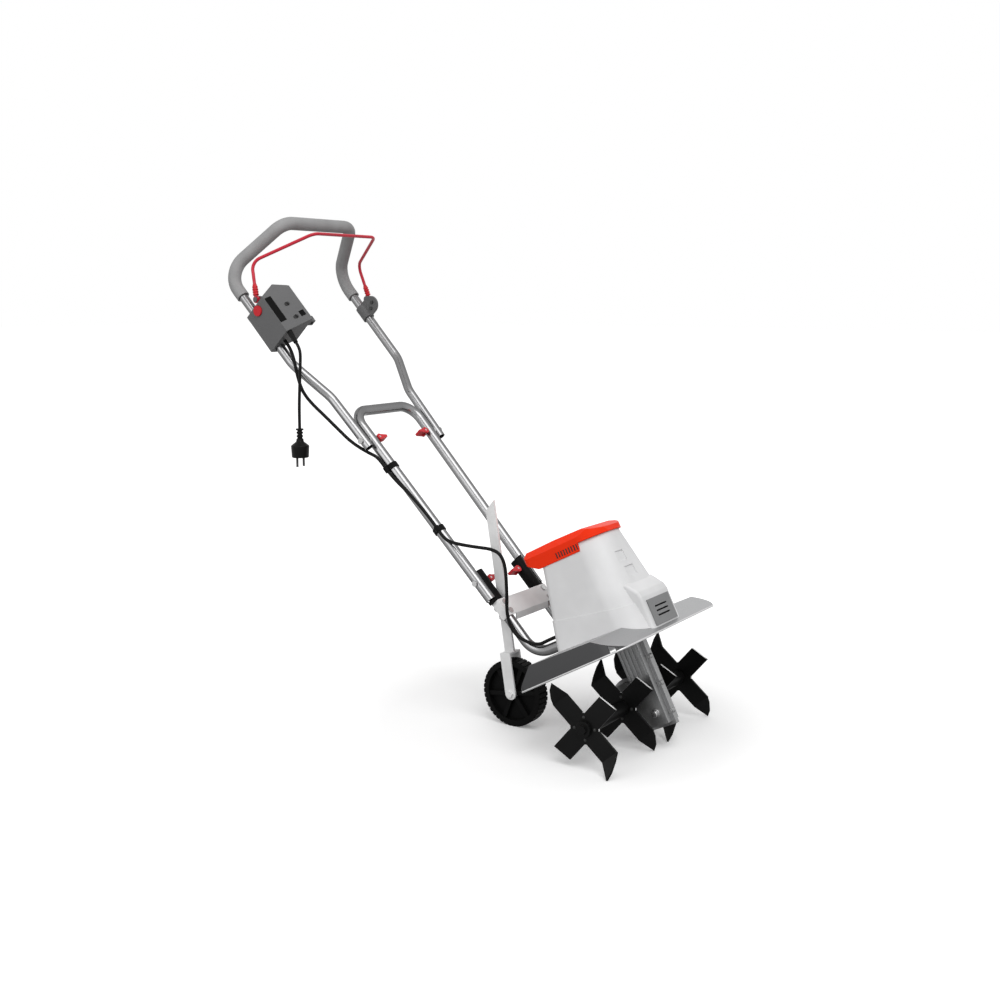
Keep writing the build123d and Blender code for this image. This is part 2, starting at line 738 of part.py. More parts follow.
HOUSING_TOP = PLATE_TOP + HOUSING_HIGH
FRONT_TOP = HOUSING_TOP + FRONT_RISE
LIP_SLOPE = (PLATE_TOP - LIP_EDGE) / (LIP_FRONT - GUARD_BEND)
SNOUT_FOOT = PLATE_TOP - LIP_SLOPE * (SNOUT_FRONT - GUARD_BEND)
BODY_FRONT = Plane(origin=on_body(0, 0, 0), x_dir=(1, 0, 0), z_dir=BODY_REAR)


def tapered(level, base, top):
    """A size of the tower at a level, by its even taper."""
    return base + (level - PLATE_TOP) / HOUSING_HIGH * (top - base)


def tower_level(level, inset):
    """The tower's section at a level."""
    half = tapered(level, BASE_HALF, TOP_HALF)
    rear = tapered(level, BASE_REAR, TOP_REAR)
    front = tapered(level, BASE_FRONT, TOP_FRONT)
    return tower_section(level, half, rear, front, inset)


def snout_outline(inset):
    """The snout seen from the side, down to the sloping lip."""
    Polygon(
        (-TOP_REAR, PLATE_TOP),
        (-GUARD_BEND, PLATE_TOP),
        (-SNOUT_FRONT + inset, SNOUT_FOOT + inset * LIP_SLOPE),
        (-SNOUT_FRONT + inset, PLATE_TOP + SNOUT_CHIN - inset),
        (-SNOUT_FRONT + BROW_RUN + inset, PLATE_TOP + SNOUT_BROW - inset),
        (-SNOUT_FRONT + SNOUT_RUN + inset, PLATE_TOP + SNOUT_HIGH - inset),
        (-TOP_REAR, PLATE_TOP + SNOUT_HIGH - inset),
        align=None,
    )


def snout_edge(edge):
    """Whether an edge is one of the snout's long outer corners."""
    middle = BODY.to_local_coords(edge.center())
    beside = abs(abs(middle.X) - SNOUT_HALF) < SLIDE_GAP
    return beside and middle.Y < -TOP_REAR - SLIDE_GAP and middle.Z > PLATE_TOP + SLIDE_GAP


with BuildPart() as housing_band:
    loft([tower_level(LIP_EDGE, -BAND_PROUD), tower_level(HOUSING_TOP, -BAND_PROUD)])
    with BuildSketch(BODY_SIDE):
        Polygon(
            (1.5 * BASE_REAR, LEG_BOTTOM),
            (1.5 * BASE_REAR, PLATE_TOP + BAND_REAR),
            (-1.5 * BASE_FRONT, PLATE_TOP + BAND_FRONT),
            (-1.5 * BASE_FRONT, LEG_BOTTOM),
            align=None,
        )
    extrude(amount=2 * BASE_HALF, both=True, mode=Mode.INTERSECT)

with BuildPart() as snout:
    with BuildSketch(BODY_SIDE):
        snout_outline(0)
    extrude(amount=SNOUT_HALF, both=True)
    fillet(snout.edges().filter_by(snout_edge), SNOUT_ROUND)

GRILLE_TOP = PLATE_TOP + SNOUT_CHIN - GRILLE_EDGE
SLOT_LEVEL = (SNOUT_FOOT + GRILLE_TOP + SLOT_HIGH) / 2
with BuildPart() as motor_housing:
    loft([tower_level(LIP_EDGE, 0), tower_level(FRONT_TOP, 0)])
    add(housing_band.part)
    add(snout.part)
    with BuildSketch(BODY_SIDE):
        Polygon(
            (-COVER_NOTCH, HOUSING_TOP),
            (2 * BASE_REAR, HOUSING_TOP),
            (2 * BASE_REAR, 2 * HOUSING_TOP),
            (-COVER_NOTCH, 2 * HOUSING_TOP),
            align=None,
        )
        Polygon(
            (-GUARD_BEND, PLATE_TOP),
            (-2 * LIP_FRONT, PLATE_TOP - LIP_SLOPE * (2 * LIP_FRONT - GUARD_BEND)),
            (-2 * LIP_FRONT, LEG_BOTTOM),
            (BASE_REAR * 2, LEG_BOTTOM),
            (BASE_REAR * 2, PLATE_TOP),
            align=None,
        )
    extrude(amount=GUARD_HALF, both=True, mode=Mode.SUBTRACT)
    loft([tower_level(LIP_EDGE, SHELL_WALL), tower_level(FRONT_TOP, SHELL_WALL)], mode=Mode.SUBTRACT)
    with BuildSketch(BODY_SIDE):
        snout_outline(SHELL_WALL)
    extrude(amount=SNOUT_HALF - SHELL_WALL, both=True, mode=Mode.SUBTRACT)
    for step in range(2):
        low = PLATE_TOP + POCKET_LIFT + step * POCKET_PITCH
        high = low + POCKET_HIGH
        low_front = -tapered(low, BASE_FRONT, TOP_FRONT)
        high_front = -tapered(high, BASE_FRONT, TOP_FRONT)
        with BuildSketch(across(BODY_SIDE, POCKET_X - step * POCKET_SHIFT)):
            Polygon(
                (low_front + POCKET_DEEP, low),
                (low_front - POCKET_DEEP, low),
                (high_front - POCKET_DEEP, high),
                (high_front + POCKET_DEEP, high),
                align=None,
            )
        extrude(amount=POCKET_WIDE, mode=Mode.SUBTRACT)
    with BuildSketch(BODY_FRONT):
        with Locations((-FRAME_X, -TUBE_LEVEL), (FRAME_X, -TUBE_LEVEL)):
            Circle(TUBE_R + SLIDE_GAP)
        with Locations((CABLE_HOLE_X, -CABLE_HOLE_UP)):
            Circle(LEAD_R + 1.5)
    extrude(amount=BASE_REAR * 2, mode=Mode.SUBTRACT)
    with BuildSketch(BODY_FRONT):
        with Locations((0, -SLOT_LEVEL)):
            Rectangle(2 * GRILLE_HALF - 4 * SLOT_HIGH, 3 * SLOT_HIGH * GRILLE_SLOTS)
    extrude(amount=-SNOUT_FRONT - 1, mode=Mode.SUBTRACT)
save(motor_housing, "motor_housing")

with BuildPart() as front_grille:
    with BuildSketch(BODY_SIDE):
        Polygon(
            (-SNOUT_FRONT, SNOUT_FOOT + SLOT_HIGH),
            (-SNOUT_FRONT, GRILLE_TOP),
            (-SNOUT_FRONT - GRILLE_T, GRILLE_TOP),
            (-SNOUT_FRONT - GRILLE_T, SNOUT_FOOT + SLOT_HIGH),
            align=None,
        )
    extrude(amount=GRILLE_HALF, both=True)
    with BuildSketch(BODY_FRONT):
        with Locations((0, -SLOT_LEVEL)):
            with GridLocations(0, 3 * SLOT_HIGH, 1, GRILLE_SLOTS):
                SlotOverall(GRILLE_HALF * 1.1, SLOT_HIGH)
    extrude(amount=-SNOUT_FRONT - 2 * GRILLE_T, mode=Mode.SUBTRACT)
save(front_grille, "front_grille")

COVER_TOP = HOUSING_TOP + COVER_HIGH
COVER_HALF = TOP_HALF + COVER_OVER

with BuildPart() as top_cover:
    with BuildSketch(BODY_SIDE):
        Polygon(
            (TOP_REAR + SHELL_WALL, HOUSING_TOP - SHELL_WALL),
            (COVER_TAIL - SHELL_WALL, HOUSING_TOP + COVER_SKIRT),
            (COVER_TAIL, HOUSING_TOP + 2 * COVER_SKIRT),
            (COVER_TAIL - 2 * SHELL_WALL, COVER_TOP - SHELL_WALL / 2),
            (0, COVER_TOP),
            (-TOP_FRONT + COVER_SLOPE, COVER_TOP - SHELL_WALL / 2),
            (-TOP_FRONT, COVER_TOP - COVER_STEP),
            (-TOP_FRONT - COVER_OVER, FRONT_TOP + SLIDE_GAP),
            (-COVER_NOTCH + SLIDE_GAP, FRONT_TOP + SLIDE_GAP),
            (-COVER_NOTCH + SLIDE_GAP, HOUSING_TOP - SHELL_WALL),
            align=None,
        )
    extrude(amount=COVER_HALF, both=True)
    with BuildSketch(BODY_FRONT):
        Polygon(
            (-COVER_HALF, -PLATE_TOP),
            (-COVER_HALF, -COVER_TOP + COVER_BEVEL),
            (-COVER_HALF + COVER_BEVEL, -COVER_TOP),
            (COVER_HALF - COVER_BEVEL, -COVER_TOP),
            (COVER_HALF, -COVER_TOP + COVER_BEVEL),
            (COVER_HALF, -PLATE_TOP),
            align=None,
        )
    extrude(amount=2 * BASE_FRONT, both=True, mode=Mode.INTERSECT)
    plan = tower_section(HOUSING_TOP - COVER_STEP, TOP_HALF, COVER_TAIL, TOP_FRONT, -COVER_OVER)
    extrude(plan, amount=2 * COVER_HIGH, mode=Mode.INTERSECT)
    rim = tower_section(HOUSING_TOP - COVER_STEP, TOP_HALF, TOP_REAR, TOP_FRONT, -3 * SLIDE_GAP)
    extrude(rim, amount=COVER_STEP, mode=Mode.SUBTRACT)
    room = tower_section(HOUSING_TOP, TOP_HALF, TOP_REAR, TOP_FRONT, SHELL_WALL)
    extrude(room, amount=COVER_HIGH - COVER_STEP - SHELL_WALL, mode=Mode.SUBTRACT)
    with BuildSketch(BODY_SIDE):
        with Locations((-COVER_NOTCH / 2, HOUSING_TOP + VENT_LIFT)):
            with GridLocations(VENT_PITCH, 0, VENT_COUNT, 1):
                Rectangle(VENT_WIDTH, VENT_HIGH)
    extrude(amount=2 * TOP_HALF, both=True, mode=Mode.SUBTRACT)
save(top_cover, "top_cover")

# Lower frame tubes, from the handle's foot down and forward onto the plate
FOOT = BODY.to_local_coords(HANDLE.origin)
FOLD_SUM = radians(HANDLE_TILT + BODY_TILT)
CORNER_ALONG = (TUBE_LEVEL - FOOT.Z) / sin(FOLD_SUM)
BRACKET_BOLTS = (BRACKET_TOP - 9, BRACKET_BOTTOM + 9)

bent_tubes = []
for side in SIDES.values():
    x = side * FRAME_X
    route = [on_handle(x, FRAME_TOP, 0), on_handle(x, CORNER_ALONG, 0), on_body(x, -FRAME_NOSE, TUBE_LEVEL)]
    bent_tubes.append(swept_tube(route, FRAME_BEND, TUBE_R, TUBE_R - TUBE_WALL))

with BuildPart() as frame_tubes:
    add(bent_tubes)
    for x in (-FRAME_X, FRAME_X):
        x_rod(HANDLE_SIDE, (LOW_CLAMP, 0), x - TUBE_R, x + TUBE_R, CLAMP_R, Mode.SUBTRACT)
        for along in BRACKET_BOLTS:
            with BuildSketch(Plane(origin=on_handle(x, along, 0), z_dir=HANDLE.y_dir)):
                Circle(CLAMP_R)
            extrude(amount=TUBE_R, both=True, mode=Mode.SUBTRACT)
        for back in FRAME_BOLTS:
            with BuildSketch(BODY.offset(TUBE_LEVEL)):
                with Locations((x, back)):
                    Circle(BOLT_R)
            extrude(amount=TUBE_R, both=True, mode=Mode.SUBTRACT)
save(frame_tubes, "frame_tubes")

with BuildPart() as plate_bolts:
    for side in SIDES.values():
        for x, back, top in (
            (FRAME_X, FRAME_BOLTS[0], PLATE_TOP + 2 * TUBE_R),
            (FRAME_X, FRAME_BOLTS[1], PLATE_TOP + 2 * TUBE_R),
        ):
            with BuildSketch(BODY.offset(LEG_TOP)):
                with Locations((side * x, back)):
                    Circle(BOLT_R)
            extrude(amount=top - LEG_TOP)
            for low in (LEG_TOP - 1.5 * BOLT_R, top):
                with BuildSketch(BODY.offset(low)):
                    with Locations((side * x, back)):
                        RegularPolygon(1.8 * BOLT_R, 6)
                extrude(amount=1.5 * BOLT_R)
        for back in (-WORM_OFFSET - BOLT_PITCH, -WORM_OFFSET + BOLT_PITCH):
            low = LEG_TOP - GEAR_FLANGE
            top = PLATE_TOP + BASE_FLANGE_T
            with BuildSketch(BODY.offset(low)):
                with Locations((side * BOLT_PITCH, back)):
                    Circle(BOLT_R)
            extrude(amount=top - low)
            for level in (low - 1.5 * BOLT_R, top):
                with BuildSketch(BODY.offset(level)):
                    with Locations((side * BOLT_PITCH, back)):
                        RegularPolygon(1.8 * BOLT_R, 6)
                extrude(amount=1.5 * BOLT_R)
save(plate_bolts, "plate_bolts")

# Black sleeves on the tube ends, flat where the handle's legs swing past
FLAT_X = LEG_X - 2
LEG_SPREAD = (CROSS_X - LEG_X) / (CROSS_ALONG - LEG_END)


def leg_x(along):
    """How far out the lower handle's leg stands at a place along the handle."""
    return LEG_X + LEG_SPREAD * (along - LEG_END)


with BuildPart() as tube_sleeves:
    for side in SIDES.values():
        foot = Plane(origin=on_handle(side * FRAME_X, 0, 0), x_dir=(-1, 0, 0), z_dir=HANDLE_UP)
        flat = FLAT_X - MOVE_GAP - FRAME_X
        with BuildSketch(foot):
            Circle(SLEEVE_R)
            with Locations((-side * (flat + SLEEVE_R), 0)):
                Rectangle(2 * SLEEVE_R, 2 * SLEEVE_R, mode=Mode.SUBTRACT)
        extrude(amount=FRAME_TOP)
        with BuildSketch(foot):
            Circle(SLEEVE_R)
            with Locations((-side * (LEG_X - FRAME_X), 0)):
                Circle(TUBE_R - 2)
        extrude(amount=COLLAR_LONG)
        with BuildSketch(foot):
            Circle(TUBE_R)
        extrude(amount=FRAME_TOP, mode=Mode.SUBTRACT)
        inner = FRAME_X - SLEEVE_R
        x_rod(HANDLE_SIDE, (LOW_CLAMP, 0), side * inner, side * FLAT_X, CLAMP_R, Mode.SUBTRACT)
save(tube_sleeves, "tube_sleeves")

# Cross bracket between the tubes, with the guide for the depth bar
BRACKET_HALF = FRAME_X + TUBE_R + BRACKET_T
INNER_HALF = FRAME_X - TUBE_R - BRACKET_T
GUIDE_IN = BAR_T / 2 + SLIDE_GAP
GUIDE_SIDE = BAR_HALF + SLIDE_GAP
CLAMP_SPOT = (0, (GUIDE_LOW + GUIDE_TOP) / 2 - 8)
SCREW_FACE = BAR_X + GUIDE_IN + BRACKET_T
with BuildPart() as cross_bracket:
    with BuildSketch(BAR.offset(GUIDE_LOW)):
        with Locations((GUIDE_IN / 2 + BRACKET_T / 2 - BAR_T / 4, 0)):
            Rectangle(GUIDE_IN + BRACKET_T + BAR_T / 2, 2 * (GUIDE_SIDE + BRACKET_T))
        with Locations((GUIDE_IN - BAR_T, 0)):
            Rectangle(2 * BAR_T, 2 * GUIDE_SIDE, mode=Mode.SUBTRACT)
    extrude(amount=GUIDE_TOP - GUIDE_LOW)
    with BuildSketch(HANDLE_SIDE):
        with Locations((0, 3 * TUBE_R + BRACKET_T)):
            Rectangle(8 * TUBE_R, 4 * TUBE_R)
    extrude(amount=BRACKET_HALF, both=True, mode=Mode.SUBTRACT)
    with BuildSketch(HANDLE_SIDE):
        with Locations(((BRACKET_TOP + BRACKET_BOTTOM) / 2, TUBE_R + BRACKET_T / 2)):
            Rectangle(BRACKET_TOP - BRACKET_BOTTOM, BRACKET_T)
    extrude(amount=BRACKET_HALF, both=True)
    crease = HANDLE_SIDE.from_local_coords(Vector(BRACKET_BOTTOM, TUBE_R + BRACKET_T))
    with BuildSketch(Plane(origin=crease, x_dir=(0, 1, 0), z_dir=(1, 0, 0))):
        with Locations((BRACKET_T / 2, -BRACKET_FLANGE / 2)):
            Rectangle(BRACKET_T, BRACKET_FLANGE)
    extrude(amount=INNER_HALF, both=True)
    for side in SIDES.values():
        with BuildSketch(across(HANDLE_SIDE, side * (FRAME_X + TUBE_R))):
            with Locations(((BRACKET_TOP + BRACKET_BOTTOM) / 2, TUBE_R + BRACKET_T - BRACKET_EAR / 2)):
                Rectangle(BRACKET_TOP - BRACKET_BOTTOM, BRACKET_EAR)
        extrude(amount=side * BRACKET_T)
        for along in BRACKET_BOLTS:
            with BuildSketch(Plane(origin=on_handle(side * FRAME_X, along, 0), z_dir=HANDLE.y_dir)):
                Circle(CLAMP_R)
            extrude(amount=2 * TUBE_R, both=True, mode=Mode.SUBTRACT)
    with BuildSketch(BAR):
        with Locations((-BAR_T / 2 + SLIDE_GAP / 2, 0)):
            Rectangle(2 * BAR_T + SLIDE_GAP, 2 * GUIDE_SIDE)
    extrude(amount=2 * GUIDE_TOP, mode=Mode.SUBTRACT)
    x_rod(BAR_SIDE, CLAMP_SPOT, BAR_X, BAR_X + 4 * BAR_T, AXLE_R, Mode.SUBTRACT)
save(cross_bracket, "cross_bracket")

with BuildPart() as bracket_bolts:
    for side in SIDES.values():
        for along in BRACKET_BOLTS:
            spot = Plane(origin=on_handle(side * FRAME_X, along, 0), z_dir=HANDLE.y_dir)
            with BuildSketch(spot.offset(-TUBE_R)):
                Circle(CLAMP_R)
            extrude(amount=2 * TUBE_R + BRACKET_T)
            with BuildSketch(spot.offset(TUBE_R + BRACKET_T)):
                Circle(2 * CLAMP_R)
            extrude(amount=CLAMP_R)
            with BuildSketch(spot.offset(-TUBE_R)):
                RegularPolygon(1.8 * CLAMP_R, 6)
            extrude(amount=-1.5 * CLAMP_R)
    x_rod(BAR_SIDE, CLAMP_SPOT, BAR_X + GUIDE_IN, SCREW_FACE + AXLE_R, AXLE_R)
    with BuildSketch(across(BAR_SIDE, SCREW_FACE)):
        with Locations(CLAMP_SPOT):
            RegularPolygon(1.8 * AXLE_R, 6)
    extrude(amount=1.5 * AXLE_R)
save(bracket_bolts, "bracket_bolts")

# Depth bar, fork and wheel
FORK_WEB = WHEEL_R + FORK_ROOM
FORK_IN = WHEEL_HALF + FORK_GAP
with BuildPart() as depth_bar:
    with BuildSketch(BAR_SIDE):
        Polygon(
            (-BAR_HALF, FORK_WEB + FORK_T),
            (BAR_HALF, FORK_WEB + FORK_T),
            (BAR_HALF, BAR_TOP - BAR_CUT),
            (-BAR_HALF, BAR_TOP),
            align=None,
        )
    extrude(amount=BAR_T / 2, both=True)
save(depth_bar, "depth_bar")

with BuildPart() as wheel_fork:
    for side in SIDES.values():
        with BuildSketch(across(BAR_SIDE, BAR_X + side * FORK_IN)):
            Circle(FORK_HALF)
            with Locations((0, (FORK_WEB + FORK_T) / 2)):
                Rectangle(2 * FORK_HALF, FORK_WEB + FORK_T)
            Circle(AXLE_R, mode=Mode.SUBTRACT)
        extrude(amount=side * FORK_T)
    with BuildSketch(BAR.offset(FORK_WEB)):
        Rectangle(2 * FORK_IN, 2 * FORK_HALF)
    extrude(amount=FORK_T)
save(wheel_fork, "wheel_fork")

spoke_start = WHEEL_HUB_R / 2
spoke_end = WHEEL_R - RIM_DEEP / 2
with BuildPart() as wheel:
    with BuildSketch(BAR_SIDE):
        Circle(WHEEL_R)
        Circle(WHEEL_R - RIM_DEEP, mode=Mode.SUBTRACT)
        with PolarLocations(WHEEL_R, TREAD_RIBS):
            Rectangle(2 * TREAD_DEEP, TREAD_DEEP, mode=Mode.SUBTRACT)
    extrude(amount=WHEEL_HALF, both=True)
    with BuildSketch(BAR_SIDE):
        Circle(WHEEL_HUB_R)
    extrude(amount=WHEEL_HALF, both=True)
    with BuildSketch(BAR_SIDE):
        Circle(WHEEL_R - RIM_DEEP)
    extrude(amount=WEB_HALF, both=True)
    with BuildSketch(BAR_SIDE):
        with PolarLocations((spoke_end + spoke_start) / 2, SPOKES):
            Rectangle(spoke_end - spoke_start, SPOKE_WIDTH)
    extrude(amount=WHEEL_HALF - WEB_HALF, both=True)
    x_rod(BAR_SIDE, (0, 0), BAR_X - WHEEL_HALF, BAR_X + WHEEL_HALF, AXLE_R + RUN_FIT, Mode.SUBTRACT)
save(wheel, "wheel")

with BuildPart() as wheel_axle:
    outer = FORK_IN + FORK_T
    x_rod(BAR_SIDE, (0, 0), BAR_X - outer, BAR_X + outer, AXLE_R)
    for side in SIDES.values():
        with BuildSketch(across(BAR_SIDE, BAR_X + side * outer)):
            RegularPolygon(1.8 * AXLE_R, 6)
        extrude(amount=side * 1.2 * AXLE_R)
save(wheel_axle, "wheel_axle")

# Lower handle, a narrow U of tube
low_route = [
    on_handle(-LEG_X, LEG_END, 0),
    on_handle(-CROSS_X, CROSS_ALONG, 0),
    on_handle(CROSS_X, CROSS_ALONG, 0),
    on_handle(LEG_X, LEG_END, 0),
]
low_tube = swept_tube(low_route, CROSS_BEND, TUBE_R, TUBE_R - TUBE_WALL)
HIGH_X = leg_x(HIGH_CLAMP)
with BuildPart() as lower_handle:
    add(low_tube)
    with BuildSketch(HANDLE_SIDE):
        with Locations(((LOW_CLAMP + FLAT_LONG) / 2, 0)):
            Rectangle(LOW_CLAMP + FLAT_LONG, 4 * TUBE_R)
    extrude(amount=FLAT_X, both=True, mode=Mode.SUBTRACT)
    for side in SIDES.values():
        hole = CLAMP_R + RUN_FIT
        x_rod(HANDLE_SIDE, (LOW_CLAMP, 0), side * FRAME_X, side * 2 * LEG_X, hole, Mode.SUBTRACT)
        x_rod(HANDLE_SIDE, (HIGH_CLAMP, 0), side * FRAME_X, side * 2 * LEG_X, CLAMP_R, Mode.SUBTRACT)
save(lower_handle, "lower_handle")

# Upper handle, spreading to a tilted grip loop
GRIP_SPREAD = (GRIP_X - SPREAD_X) / (GRIP_ALONG - SPREAD_END)
UPPER_GAP = SPACER + 2 * MOVE_GAP
FOOT_SPREAD = LEG_SPREAD * 2
UPPER_X = HIGH_X + TUBE_R + UPPER_GAP + GRIP_TUBE
END_X = UPPER_X - FOOT_SPREAD * (HIGH_CLAMP - UPPER_END)
START_X = UPPER_X + FOOT_SPREAD * (SPREAD_START - HIGH_CLAMP)


def grip_x(along):
    """How far out the upper handle's tube stands between its spread and the grip."""
    return SPREAD_X + GRIP_SPREAD * (along - SPREAD_END)


half_route = [
    (END_X, UPPER_END, 0),
    (START_X, SPREAD_START, 0),
    (SPREAD_X, SPREAD_END, 0),
    (GRIP_X, GRIP_ALONG, 0),
    (LOOP_X, GRIP_ALONG + LOOP_RISE, LOOP_AHEAD),
]
half_bends = [SPREAD_BEND, SPREAD_BEND, GRIP_BEND, LOOP_BEND]
right_half = [on_handle(-x, along, ahead) for x, along, ahead in half_route]
left_half = [on_handle(x, along, ahead) for x, along, ahead in reversed(half_route)]
all_bends = half_bends + half_bends[::-1]
upper_tube = swept_tube(right_half + left_half, all_bends, GRIP_TUBE, GRIP_TUBE - TUBE_WALL)
with BuildPart() as upper_handle:
    add(upper_tube)
    for side in SIDES.values():
        start = side * (UPPER_X - 2 * GRIP_TUBE)
        x_rod(HANDLE_SIDE, (HIGH_CLAMP, 0), start, side * 2 * UPPER_X, CLAMP_R + RUN_FIT, Mode.SUBTRACT)
save(upper_handle, "upper_handle")

foam_half = [(grip_x(FOAM_START), FOAM_START, 0)] + half_route[3:]
foam_right = [on_handle(-x, along, ahead) for x, along, ahead in foam_half]
foam_left = [on_handle(x, along, ahead) for x, along, ahead in reversed(foam_half)]
foam_bends = [GRIP_BEND, LOOP_BEND, LOOP_BEND, GRIP_BEND]
foam = swept_tube(foam_right + foam_left, foam_bends, FOAM_R, GRIP_TUBE)
with BuildPart() as grip_foam:
    add(foam)
save(grip_foam, "grip_foam")

with BuildPart() as spacer_washers:
    for side in SIDES.values():
        with BuildSketch(across(HANDLE_SIDE, side * (HIGH_X + TUBE_R - 1))):
            with Locations((HIGH_CLAMP, 0)):
                Circle(TUBE_R - 3)
                Circle(CLAMP_R, mode=Mode.SUBTRACT)
        extrude(amount=side * (SPACER + 1))
    add(low_tube, mode=Mode.SUBTRACT)
save(spacer_washers, "spacer_washers")

# Clamp bolts with a cross pin at the inner end, and their cam levers
LOW_FACE = FRAME_X - SLEEVE_R
HIGH_FACE = HIGH_X - TUBE_R


def clamp_bolts(name, along, outer, face):
    """Two bolts along X: a round head outside and a cross pin for the lever inside."""
    with BuildPart() as bolts:
        for side in SIDES.values():
            tail = side * (face - LEVER_LIFT)
            x_rod(HANDLE_SIDE, (along, 0), tail - side * CLAMP_R, side * outer, CLAMP_R)
            x_rod(HANDLE_SIDE, (along, 0), side * outer, side * (outer + CLAMP_R), 2 * CLAMP_R)
            pivot = Plane(origin=on_handle(tail, along, 0), z_dir=HANDLE.y_dir)
            with BuildSketch(pivot):
                Circle(LEVER_PIN)
            extrude(amount=LEVER_HALF, both=True)
    save(bolts, name)


clamp_bolts("lower_clamp_bolts", LOW_CLAMP, leg_x(LOW_CLAMP) + TUBE_R + 2 * MOVE_GAP, LOW_FACE)
clamp_bolts("upper_clamp_bolts", HIGH_CLAMP, UPPER_X + GRIP_TUBE + 2 * MOVE_GAP, HIGH_FACE)


def cam_lever(name, side, along, face):
    """A red cam lever: two round cheeks on the pin, joined by a thumb tab pointing inward."""
    pivot = on_handle(side * (face - LEVER_LIFT), along, 0)
    plane = Plane(origin=pivot, x_dir=(-side, 0, 0), z_dir=HANDLE.y_dir)
    with BuildPart() as lever:
        with BuildSketch(plane):
            Circle(LEVER_R)
            with Locations((LEVER_LONG / 2, 0)):
                Trapezoid(2 * LEVER_R - 2, LEVER_LONG, 80, rotation=-90)
        extrude(amount=LEVER_HALF, both=True)
        with BuildSketch(plane):
            with Locations((-LEVER_R / 2, 0)):
                Rectangle(4 * LEVER_R, 4 * LEVER_R)
        extrude(amount=LEVER_SLOT, both=True, mode=Mode.SUBTRACT)
        with BuildSketch(plane):
            Circle(LEVER_PIN + RUN_FIT)
        extrude(amount=2 * LEVER_HALF, both=True, mode=Mode.SUBTRACT)
    save(lever, name)


for name, side in SIDES.items():
    cam_lever(f"lower_lever_{name}", side, LOW_CLAMP, LOW_FACE)
    cam_lever(f"upper_lever_{name}", side, HIGH_CLAMP, HIGH_FACE)

# Switch box on the right grip tube, split into clamp, base and lid
BOX_MIDDLE = grip_x((BOX_START + BOX_END) / 2)
BOX_PLANE = Plane(origin=on_handle(-BOX_MIDDLE, BOX_START, 0), x_dir=(-1, 0, 0), z_dir=HANDLE_UP)
ROOF_SLOPE = (ROOF - RIDGE) / (BOX_OUT + BOX_IN)
LID_LEVEL = RIDGE - BOX_WALL
tube_low = on_handle(-grip_x(BOX_START), BOX_START, 0)
tube_high = on_handle(-grip_x(BOX_END), BOX_END, 0)
BOX_TUBE = Plane(origin=tube_low, z_dir=tube_high - tube_low)
BUTTON_FACE = -BOX_MIDDLE - BOX_OUT
RECESS = BUTTON_TRAVEL + 1.5


def box_outline():
    """The box's cross-section: outer wall, sloping roof, inner wall and a narrow clamp."""
    Polygon(
        (BOX_OUT, -BOX_BACK),
        (BOX_OUT, RIDGE),
        (-BOX_IN, ROOF),
        (-BOX_IN, BOX_BACK + 8),
        (-BOX_BACK, BOX_BACK - 6),
        (-BOX_BACK, -BOX_BACK),
        align=None,
    )


def box_room():
    """The hollow inside the box, above the tube."""
    Polygon(
        (BOX_OUT - BOX_WALL, BOX_BACK),
        (BOX_OUT - BOX_WALL, RIDGE - BOX_WALL),
        (-BOX_IN + BOX_WALL, ROOF - BOX_WALL * 1.5),
        (-BOX_IN + BOX_WALL, BOX_BACK + 10),
        (-BOX_BACK, BOX_BACK),
        align=None,
    )


def level_band(low, high):
    """Everything between two levels ahead of the handle's plane."""
    with BuildSketch(BOX_PLANE) as band:
        with Locations((0, (low + high) / 2)):
            Rectangle(4 * BOX_IN, high - low)
    return band.sketch


with BuildPart() as box_clamp:
    with BuildSketch(BOX_PLANE):
        box_outline()
    extrude(amount=BOX_LONG)
    extrude(level_band(-2 * ROOF, 0), amount=BOX_LONG, mode=Mode.INTERSECT)
    with BuildSketch(BOX_TUBE):
        Circle(GRIP_TUBE)
    extrude(amount=2 * BOX_LONG, both=True, mode=Mode.SUBTRACT)
save(box_clamp, "box_clamp")

